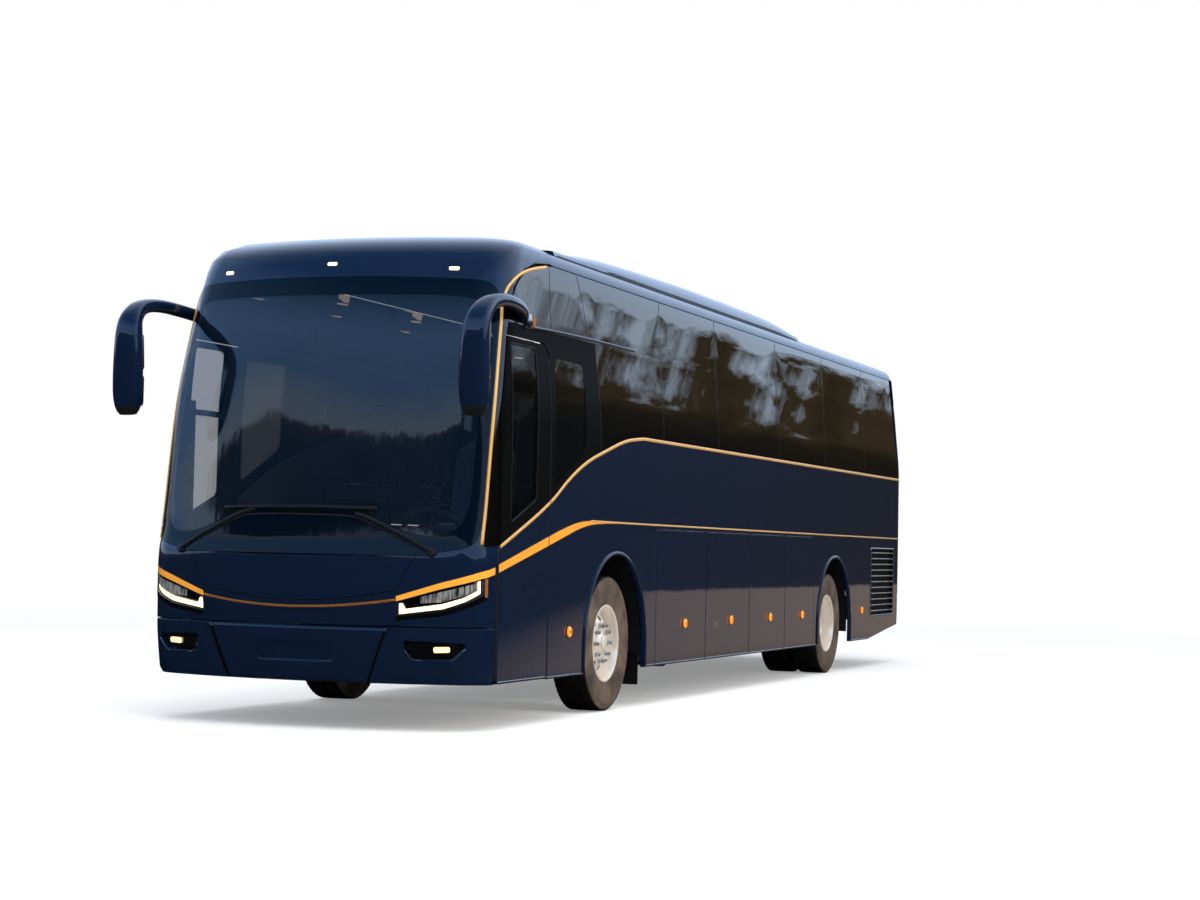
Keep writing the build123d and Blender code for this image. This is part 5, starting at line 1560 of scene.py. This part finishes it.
_, rootDistance, rootHeight, _, _ = mirror["rows"][0]
for side, word in hands:
    mirrorShell(side, word)
    for tag in ("glass", "wide"):
        outline = roundedOutline(mirror[tag], 0.03, 3)
        flatPane(f"mirror{tag.capitalize()}{word}", outline, mirror["glassAt"], side, mirrorGlass)
    turnedDisc("mirrorRoot" + word, mirror["rootPlate"], sideMap(side), rootDistance, rootHeight, satinSilver)
    makeObject("mirrorSideLamp" + word, *moved(boxMesh(*mirror["sideLamp"]), side=side), [amberLens], smooth=False)
print("mirrors made")


# Wheels: tyre with a grooved tread, forged disc in front and dished discs behind

wheel = {
    "tyreRadius": 0.522,
    "halfWidth": 0.145,
    "bore": 0.2865,
    "treadDepth": 0.012,
    "grooves": [0.066, 0.022, -0.022, -0.066],
    "grooveHalf": 0.0055,
    # cross cuts in the tread's shoulders: how far from the middle they start, depth, and one in so many steps
    "shoulder": (0.072, 0.009, 4),
    "segments": 240,
    "trackHalf": 1.07,
    "twin": 0.335,
    "height": 0.522,
    # (offset along the axle, radius) rows
    "rim": [(0.113, 0.286), (0.120, 0.297), (0.124, 0.300), (0.127, 0.296), (0.124, 0.284), (0.112, 0.276),
            (0.085, 0.268), (0.060, 0.266), (-0.02, 0.262), (-0.09, 0.266), (-0.113, 0.272), (-0.124, 0.284),
            (-0.127, 0.296), (-0.124, 0.300), (-0.120, 0.297), (-0.113, 0.286), (-0.07, 0.280), (0.07, 0.280)],
    "innerRim": [(0.113, 0.286), (0.124, 0.298), (0.112, 0.270), (-0.112, 0.270), (-0.124, 0.298), (-0.113, 0.286)],
    "nut": [(0.0, 0.019), (0.012, 0.019), (0.014, 0.015), (0.034, 0.014), (0.038, 0.010), (0.039, 0.0001)],
    "nuts": 10,
    "handHoles": 10,
    "holeCircle": 0.196,
    "discSpan": (0.266, 0.088),   # outer and inner radius of the disc
    "discThickness": 0.012,
    "drum": (0.125, 0.250, 0.010),   # inner and outer radius and thickness of the brake drum's face
}
wheelStyles = {
    "front": {
        # (radius, offset) rows of the disc, the hand holes' half sizes, faces along the axle and the nut circle
        "disc": [(0.0, 0.088), (0.10, 0.086), (0.125, 0.082), (0.150, 0.086), (0.175, 0.080), (0.22, 0.055),
                 (0.262, 0.030)],
        "hole": (0.026, 0.030),
        "nutFace": 0.084,
        "nutCircle": 0.142,
        "drumAt": 0.012,
        "capAt": 0.080,
        "cap": [(0.0, 0.090), (0.008, 0.090), (0.016, 0.082), (0.022, 0.060), (0.036, 0.056), (0.042, 0.045),
                (0.044, 0.0001)],
    },
    "rear": {
        "disc": [(0.0, -0.085), (0.15, -0.083), (0.19, -0.070), (0.235, -0.035), (0.268, 0.02)],
        "hole": (0.026, 0.026),
        "nutFace": -0.083,
        "nutCircle": 0.140,
        "drumAt": -0.112,
        "capAt": -0.085,
        "cap": [(0.0, 0.098), (0.060, 0.095), (0.085, 0.085), (0.095, 0.070), (0.135, 0.066), (0.142, 0.055),
                (0.145, 0.0001)],
    },
}


def tyreProfile():
    # the section from one bead out over the side wall and the tread to the other bead
    outer, half, bore = wheel["tyreRadius"], wheel["halfWidth"], wheel["bore"]
    side = [(half - 0.032, bore), (half - 0.022, bore + 0.006), (half - 0.020, bore + 0.016),
            (half - 0.012, bore + 0.030), (half - 0.004, bore + 0.070), (half, bore + 0.105), (half, bore + 0.130),
            (half - 0.002, bore + 0.133), (half - 0.001, bore + 0.155), (half - 0.003, bore + 0.180),
            (half - 0.006, bore + 0.184), (half - 0.008, bore + 0.210), (half - 0.013, outer - 0.012),
            (half - 0.022, outer - 0.002)]
    tread, h, floor = [], wheel["grooveHalf"], outer - wheel["treadDepth"]
    for groove in wheel["grooves"]:
        tread += [(groove + h, outer), (groove + h * 0.6, floor), (groove - h * 0.6, floor), (groove - h, outer)]
    return side, tread, [(-x, r) for x, r in reversed(side)]


def tyreMesh():
    side, tread, other = tyreProfile()
    profile = side + tread + other
    outer, segments = wheel["tyreRadius"], wheel["segments"]
    shoulderFrom, cutDepth, pitch = wheel["shoulder"]
    points = []
    for k, a in enumerate(turns(segments)):
        for x, r in profile:
            onShoulder = abs(x) > shoulderFrom and r > outer - 0.014
            radius = r - (cutDepth if k % pitch == 0 and onShoulder else 0.0)
            points.append((x, radius * math.cos(a), radius * math.sin(a)))
    return points, gridFaces(segments, len(profile), True)


def tyreSlots():
    # the two side walls are painted greyer than the tread: painted light on the side walls
    side, tread, _ = tyreProfile()
    wall = len(side) - 2
    ring = [1] * wall + [0] * (len(side) * 2 + len(tread) - 1 - 2 * wall) + [1] * wall + [0]
    return ring * wheel["segments"]


def discSheet(name, profile, holes, place, side, body, material):
    # a wheel disc: a flat ring with holes, pushed along the axle by its profile
    shape = smoothCurve([p[0] for p in profile], [p[1] for p in profile])

    def mapped(uv):
        r = np.hypot(uv[:, 0], uv[:, 1])
        return np.stack([side * (place[0] + shape(r)), place[1] + uv[:, 0], place[2] + uv[:, 1]], 1)

    def circle(radius, count):
        return [(radius * math.cos(a), radius * math.sin(a)) for a in np.linspace(0, 2 * math.pi, count + 1)[:-1]]

    outer, inner = wheel["discSpan"]
    sheet(name, circle(outer, 96), (mapped, side), [material], body, holes=[circle(inner, 48)] + holes, step=0.022,
          depth=wheel["discThickness"], edge=0.003)


def ovalHole(angle, radius, radial, tangential):
    c, s = math.cos(angle), math.sin(angle)
    points = []
    for a in turns(20):
        r, t = radius + radial * math.cos(a), tangential * math.sin(a)
        points.append((r * c - t * s, r * s + t * c))
    return points


def wheelParts(body, tag, side, axle, style, nodes):
    # an outer wheel: tyre, rim, disc, brake drum's face, hub and nuts
    centreX, y, z = wheel["trackHalf"], noseY + axle, wheel["height"]
    centre, style = (side * centreX, y, z), wheelStyles[style]
    # the outer tyre's side walls carry painted light
    addPart("tyre" + tag, moved(tyreMesh(), centre, side), [tyreRubber, sidewallRubber], 30, body,
            faceMaterials=tyreSlots(), hides=nodes[:1])
    addPart("rim" + tag, moved(revolved(wheel["rim"], 96), centre, side), [polished], 40, body, hides=nodes[1:])
    holes = [ovalHole(a, wheel["holeCircle"], *style["hole"]) for a in turns(wheel["handHoles"], 0.5)]
    discSheet("disc" + tag, style["disc"], holes, (centreX, y, z), side, body, polished)
    # the dark brake drum's face, which shows through the hand holes
    (low, high, thick), at = wheel["drum"], style["drumAt"]
    face = revolved([(at, low), (at, high), (at - thick, high), (at - thick, low)], 48)
    addPart("drumFace" + tag, moved(face, centre, side), [frameBlack], 40, body)
    cap = revolved([(style["capAt"] + offset, radius) for offset, radius in style["cap"]], 48, closed=False)
    addPart("hub" + tag, moved(cap, centre, side), [polished], 35, body)
    nuts = []
    for a in turns(wheel["nuts"]):
        place = (side * (centreX + style["nutFace"]), y + style["nutCircle"] * math.cos(a),
                 z + style["nutCircle"] * math.sin(a))
        nuts.append(moved(revolved(wheel["nut"], 12, closed=False), place, side))
    addPart("nuts" + tag, joinMeshes(nuts), [satinSilver], 35, body)


for side, tag in hands:
    word = tag.lower()
    wheelParts(f"front_wheel_{word}", "Front" + tag, side, coach["frontAxle"], "front",
               [f"front_tyre_{word}", f"front_rim_{word}"])
    body = f"rear_wheels_{word}"
    wheelParts(body, "Rear" + tag, side, coach["rearAxle"], "rear", [f"rear_tyres_{word}", f"rear_rims_{word}"])
    inner = (side * (wheel["trackHalf"] - wheel["twin"]), noseY + coach["rearAxle"], wheel["height"])
    addPart("tyreInner" + tag, moved(tyreMesh(), inner, side), [tyreRubber], 30, body)
    addPart("rimInner" + tag, moved(revolved(wheel["innerRim"], 72), inner, side), [satinSilver], 40, body)
print("wheels made")


# Wheel housings, dark inside

# the front pair reaches less far in, which leaves the steered tyres their room
housing = {"radius": 0.700, "foot": 0.42, "front": (0.572, 1.236), "rear": (0.56, 1.236)}


def housingPart(axle, x0, x1):
    line = archLine(axle, housing["radius"], housing["foot"], 24)
    points = [(x, noseY + d, z) for x in (x0, x1) for d, z in line]
    count = len(line)
    faces = [(k, k + 1, count + k + 1, count + k) for k in range(count - 1)]
    faces.append(tuple(range(count)))
    return points, faces


for side, tag in hands:
    for word in ("front", "rear"):
        part = housingPart(coach[word + "Axle"], *housing[word])
        addPart(f"{word}Housing{tag}", moved(part, side=side), [blackPlastic])
print("housings made")


# Inside: padded seats, cab fittings and ceiling lights

inside = {
    "floor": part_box("saloon_floor")[1].z,
    "cabFloor": 0.86,
    "rows": 12,
    "firstRow": 2.65,
    "pitch": 0.79,
    "seatsX": [-1.175 + 0.224, -0.28 - 0.224, 0.28 + 0.224, 1.175 - 0.224],
    "seatWidth": 0.43,
    "tilt": 0.16,
    # a pair's bench: x range, distances behind the row's place, heights over the floor, then its foot's
    "bench": (0.34, 1.12, 0.16, 0.42, 0.25, 0.32),
    "benchFoot": (0.67, 0.73, 0.22, 0.34, 0.001, 0.26),
    "driverSeat": (0.62, 1.24, 0.08, 0.48),   # x, distance, height over the cab floor, width
    "driverBase": (0.48, 0.76, 1.42, 1.72, 0.001, 0.40),
    # ceiling lamps: distance from the middle, half width, lowest and highest place
    "lamps": (0.42, 0.03, 3.275, 3.285),
    "cabLamps": (0.45, 0.02, 3.215, 3.225),
    "cabLampRun": (1.66, 2.2),
}


def cushionShape(centre, size, tilt=0.0, power=0.45, around=14, up=8):
    # a plump block: half sizes along X, Y and Z, leaned back by tilt about X
    points = []
    c, s = math.cos(tilt), math.sin(tilt)

    def rounded(value):
        return math.copysign(abs(value) ** power, value)

    for j in range(up + 1):
        latitude = math.pi * (j / up - 0.5)
        for longitude in turns(around):
            x = rounded(math.cos(latitude)) * rounded(math.cos(longitude)) * size[0]
            y = rounded(math.cos(latitude)) * rounded(math.sin(longitude)) * size[1]
            z = rounded(math.sin(latitude)) * size[2]
            points.append((centre[0] + x, centre[1] + y * c + z * s, centre[2] + z * c - y * s))
    return points, gridFaces(up + 1, around)


def seatParts(x, distance, floor, width):
    y, tilt = noseY + distance, inside["tilt"]
    cushion = cushionShape((x, y + 0.30, floor + 0.40), (width / 2, 0.25, 0.075), power=0.4)
    back = cushionShape((x, y + 0.585, floor + 0.74), (width / 2, 0.065, 0.33), tilt)
    head = cushionShape((x, y + 0.655, floor + 1.02), (width * 0.32, 0.05, 0.10), tilt, power=0.5)
    return [cushion, back, head]


def onFloor(sizes, side, distance, floor):
    # a box on the floor, from sizes across, behind a distance and over the floor
    x0, x1, d0, d1, z0, z1 = sizes
    low, high = sorted((side * x0, side * x1))
    return boxMesh(low, high, distance + d0, distance + d1, floor + z0, floor + z1)


cushions, frames = [], []
for row in range(inside["rows"]):
    distance = inside["firstRow"] + row * inside["pitch"]
    for x in inside["seatsX"]:
        cushions += seatParts(x, distance, inside["floor"], inside["seatWidth"])
    for side, _ in hands:
        frames += [onFloor(inside[part], side, distance, inside["floor"]) for part in ("bench", "benchFoot")]
made = makeObject("seatCushions", *joinMeshes(cushions), [seatCloth], hides=["passenger_seats"])
makeObject("seatFrames", *joinMeshes(frames), [blackPlastic], smooth=False)
x, distance, rise, width = inside["driverSeat"]
driverParts = joinMeshes(seatParts(x, distance, inside["cabFloor"] + rise, width))
made = makeObject("driverCushions", *driverParts, [seatCloth], hides=["driver_seat"])
makeObject("driverSeatBase", *onFloor(inside["driverBase"], 1, 0, inside["cabFloor"]), [blackPlastic], smooth=False)
middle, half, low, high = inside["lamps"]
lights = [boxMesh(side * middle - half, side * middle + half, d, d + 0.10, low, high)
          for side, _ in hands for d in np.arange(3.0, 12.0, 1.58)]
middle, half, low, high = inside["cabLamps"]
lights += [boxMesh(side * middle - half, side * middle + half, *inside["cabLampRun"], low, high) for side, _ in hands]
makeObject("ceilingLights", *joinMeshes(lights), [ceilingLamp], smooth=False)
print("inside made")


# The frame's own nodes that stay in view

nodeFinish = {
    "saloon_floor": floorCover, "cab_floor": floorCover, "luggage_deck": cabinTrim, "front_chassis": chassisSteel,
    "rear_chassis": chassisSteel, "engine": castIron, "front_axle": castIron, "knuckle_left": castIron,
    "knuckle_right": castIron, "rear_axle": castIron, "air_springs": sealRubber, "dashboard": darkTrim,
    "steering_wheel": darkTrim, "front_door_post": satinSilver, "luggage_racks": cabinTrim, "mud_flaps": tyreRubber,
    "roof_cooler": paint, "roof_hatch_front": paint, "roof_hatch_rear": paint, "side_grilles": blackPlastic,
}
for name, finish in nodeFinish.items():
    slots = frame["nodes"][name].data.materials
    slots.clear()
    slots.append(finish)
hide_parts("side_grilles")
print("frame nodes finished")


# Stage, lights and camera

studio = {
    "floor": "#F2F2F0",
    "floorSize": 400,
    "floorFade": (7.0, 24.0),   # distances over which the floor fades to plain white
    # the street in reflections: its colours and the far kerb's place at the nose, slope and furthest place
    "street": "#A89789",
    "darkStreet": "#101114",
    "kerb": (2.15, 0.3125, 17.8),
    "nearStreet": (1.5, 4.0),   # X range over which the street grows pale beside the coach
    "farStreet": (-0.6, 1.2),   # and over which it does so before the far kerb
    # the sky in reflections, from straight down to straight up
    "sky": [(0.0, "#0B0B0B"), (0.06, "#16140F"), (0.10, "#221C12"), (0.122, "#3C3220"), (0.137, "#B4C4D8"),
            (0.18, "#A9C2E0"), (0.24, "#7EACE6"), (0.42, "#86B6F4"), (0.75, "#2A5A88"), (1.0, "#24507A")],
    "skyStrength": 1.8,
    "treeTops": (48.0, 0.080),   # fineness and height of the skyline's raggedness
    "skylineRise": 0.26,
    "skylineBeside": (0.030, -0.040),
    "haze": "#C6D0DE",
    "hazeShare": 0.62,
    "ambient": ("#E8EEF6", 1.0),
    # name, place, target, width, height, power, colour
    "lamps": [("topSoftbox", (2, -3, 12), (0, 0, 1), 14, 20, 2600, "#FFFFFF"),
              ("leftSoftbox", (14, -6, 6), (1, 0, 1.5), 10, 5, 900, "#FFF1DC"),
              ("frontSoftbox", (-6, -20, 7), (0, -6, 1.5), 8, 5, 120, "#F4F8FF")],
    "camera": (7.2645, noseY - 14.0377, 1.254),
    "yaw": 0.3472,
    "pitch": 0.0423,
    "roll": 0.0224,
    "lens": 69.78,
}


def stageFloor():
    bpy.ops.mesh.primitive_plane_add(size=studio["floorSize"], location=(0, 0, 0))
    floor = bpy.context.object
    floor.name = "studioFloor"
    # pale where the camera sees it, fading to plain white away from the coach; a dull street in reflections
    made, tree, principled = shader("studioFloorPaint", Base_Color=linear(studio["floor"]), Roughness=0.9)
    path = addNode(tree, "LightPath")
    light = addNode(tree, "Emission", {"Color": linear("#FFFFFF"), "Strength": 1.0})
    place = addNode(tree, "NewGeometry")
    away = addNode(tree, "VectorMath", {0: place.outputs["Position"]}, operation="LENGTH")
    near, far = studio["floorFade"]
    fade = addNode(tree, "MapRange", {"Value": away.outputs["Value"], "From Min": near, "From Max": far,
                                      "To Min": 0.25, "To Max": 1.0}, interpolation_type="SMOOTHSTEP")
    seen = addNode(tree, "Math", {0: path.outputs["Is Camera Ray"], 1: fade}, operation="MULTIPLY")
    mix = addNode(tree, "MixShader", {0: seen, 1: principled, 2: light})
    across = addNode(tree, "SeparateXYZ", {"Vector": place.outputs["Position"]})
    low, high = studio["nearStreet"]
    nearShare = addNode(tree, "MapRange", {"Value": across.outputs["X"], "From Min": low, "From Max": high})
    # the far kerb runs outwards behind the coach, and the street is dark beyond it
    start, slope, limit = studio["kerb"]
    kerb = addNode(tree, "Math", {0: across.outputs["Y"], 1: slope, 2: start - slope * noseY},
                   operation="MULTIPLY_ADD")
    kerb = addNode(tree, "Math", {0: kerb, 1: limit}, operation="MINIMUM")
    past = addNode(tree, "Math", {0: kerb, 1: across.outputs["X"]}, operation="SUBTRACT")
    low, high = studio["farStreet"]
    farShare = addNode(tree, "MapRange", {"Value": past, "From Min": low, "From Max": high})
    share = addNode(tree, "Math", {0: nearShare, 1: farShare}, operation="MULTIPLY")
    tone = addNode(tree, "Mix", {"Factor": share}, data_type="RGBA")
    tone.inputs["A"].default_value = linear(studio["darkStreet"])
    tone.inputs["B"].default_value = linear(studio["street"])
    street = addNode(tree, "Emission", {"Color": tone.outputs["Result"], "Strength": 1.0})
    last = addNode(tree, "MixShader", {0: path.outputs["Is Glossy Ray"], 1: mix, 2: street})
    # seen from underneath the floor is clear, so that the chassis shows
    gone = addNode(tree, "BsdfTransparent")
    under = addNode(tree, "Math", {0: place.outputs["Backfacing"], 1: path.outputs["Is Camera Ray"]},
                    operation="MULTIPLY")
    last = addNode(tree, "MixShader", {0: under, 1: last, 2: gone})
    tree.links.new(last.outputs[0], tree.nodes["Material Output"].inputs["Surface"])
    floor.data.materials.append(made)


def studioWorld():
    # white for the camera; for reflections a blue sky over a dark, ragged skyline, as along a street with trees
    world = bpy.data.worlds.new("studioWorld")
    bpy.context.scene.world = world
    world.use_nodes = True
    tree = world.node_tree
    background = tree.nodes["Background"]
    direction = addNode(tree, "TexCoord")
    parts = addNode(tree, "SeparateXYZ", {"Vector": direction.outputs["Generated"]})
    fineness, ragged = studio["treeTops"]
    leaves = addNode(tree, "TexNoise", {"Vector": direction.outputs["Generated"], "Scale": fineness,
                                        "Detail": 5.0, "Roughness": 0.65})
    tops = addNode(tree, "Math", {0: leaves, 1: ragged, 2: -ragged / 2}, operation="MULTIPLY_ADD")
    height = addNode(tree, "Math", {0: parts.outputs["Z"], 1: tops}, operation="ADD")
    # the skyline stands higher ahead of the coach than along its side
    ahead = addNode(tree, "MapRange", {"Value": parts.outputs["Y"], "From Min": -0.2, "From Max": -0.7,
                                       "To Min": 0.0, "To Max": studio["skylineRise"]})
    lowSky = addNode(tree, "MapRange", {"Value": parts.outputs["Z"], "From Min": 0.8, "From Max": 0.36})
    rise = addNode(tree, "Math", {0: ahead, 1: lowSky}, operation="MULTIPLY")
    height = addNode(tree, "Math", {0: height, 1: rise}, operation="SUBTRACT")
    # and higher opposite the coach than far behind it
    opposite, behind = studio["skylineBeside"]
    beside = addNode(tree, "MapRange", {"Value": parts.outputs["X"], "From Min": 0.227, "From Max": 0.42,
                                        "To Min": opposite, "To Max": behind})
    height = addNode(tree, "Math", {0: height, 1: beside}, operation="ADD")
    ramp = addNode(tree, "ValToRGB", {"Fac": height})
    stops = ramp.color_ramp.elements
    stops[0].position, stops[1].position = 0.0, 1.0
    stops[0].color, stops[1].color = linear(studio["sky"][0][1]), linear(studio["sky"][-1][1])
    for position, colour in studio["sky"][1:-1]:
        stops.new(position).color = linear(colour)
    # the sky behind the coach is hazier and paler than the sky ahead of it
    back = addNode(tree, "MapRange", {"Value": parts.outputs["Y"], "From Min": -0.2, "From Max": 0.6,
                                      "To Min": 0.0, "To Max": studio["hazeShare"]})
    clear = addNode(tree, "MapRange", {"Value": height, "From Min": 0.15, "From Max": 0.26})
    haze = addNode(tree, "Math", {0: back, 1: clear}, operation="MULTIPLY")
    sky = addNode(tree, "Mix", {"Factor": haze}, data_type="RGBA")
    tree.links.new(ramp.outputs["Color"], sky.inputs["A"])
    sky.inputs["B"].default_value = linear(studio["haze"])
    tree.links.new(sky.outputs["Result"], background.inputs["Color"])
    background.inputs["Strength"].default_value = studio["skyStrength"]
    colour, strength = studio["ambient"]
    soft = addNode(tree, "Background", {"Color": linear(colour), "Strength": strength})
    path = addNode(tree, "LightPath")
    mix = addNode(tree, "MixShader", {0: path.outputs["Is Glossy Ray"], 1: soft, 2: background})
    white = addNode(tree, "Background", {"Color": linear("#FFFFFF"), "Strength": 1.0})
    last = addNode(tree, "MixShader", {0: path.outputs["Is Camera Ray"], 1: mix, 2: white})
    tree.links.new(last.outputs[0], tree.nodes["World Output"].inputs["Surface"])


def softbox(name, place, target, width, height, power, colour):
    # a large soft lamp that lights the coach but doesn't show in its paint
    data = bpy.data.lights.new(name, "AREA")
    data.shape, data.size, data.size_y, data.energy = "RECTANGLE", width, height, power
    data.color = linear(colour)[:3]
    lamp = bpy.data.objects.new(name, data)
    lamp.location = place
    lamp.rotation_euler = (Vector(target) - Vector(place)).to_track_quat("-Z", "Y").to_euler()
    bpy.context.scene.collection.objects.link(lamp)
    lamp.visible_glossy = False


def photoCamera():
    yaw, pitch, roll = studio["yaw"], studio["pitch"], studio["roll"]
    forward = Vector((-math.sin(yaw) * math.cos(pitch), math.cos(yaw) * math.cos(pitch), math.sin(pitch)))
    right = Vector((math.cos(yaw), math.sin(yaw), 0))
    up = right.cross(forward)
    tiltedRight = math.cos(roll) * right + math.sin(roll) * up
    tiltedUp = -math.sin(roll) * right + math.cos(roll) * up
    data = bpy.data.cameras.new("photoCamera")
    data.lens, data.sensor_width = studio["lens"], 36
    data.clip_end = 500
    camera = bpy.data.objects.new("photoCamera", data)
    basis = Matrix((tiltedRight, tiltedUp, -forward)).transposed().to_4x4()
    camera.matrix_world = Matrix.Translation(studio["camera"]) @ basis
    bpy.context.scene.collection.objects.link(camera)
    bpy.context.scene.camera = camera


stageFloor()
studioWorld()
for lamp in studio["lamps"]:
    softbox(*lamp)
photoCamera()
bpy.context.scene.view_settings.view_transform = "Standard"
bpy.context.scene.view_settings.look = "None"
print("stage made")
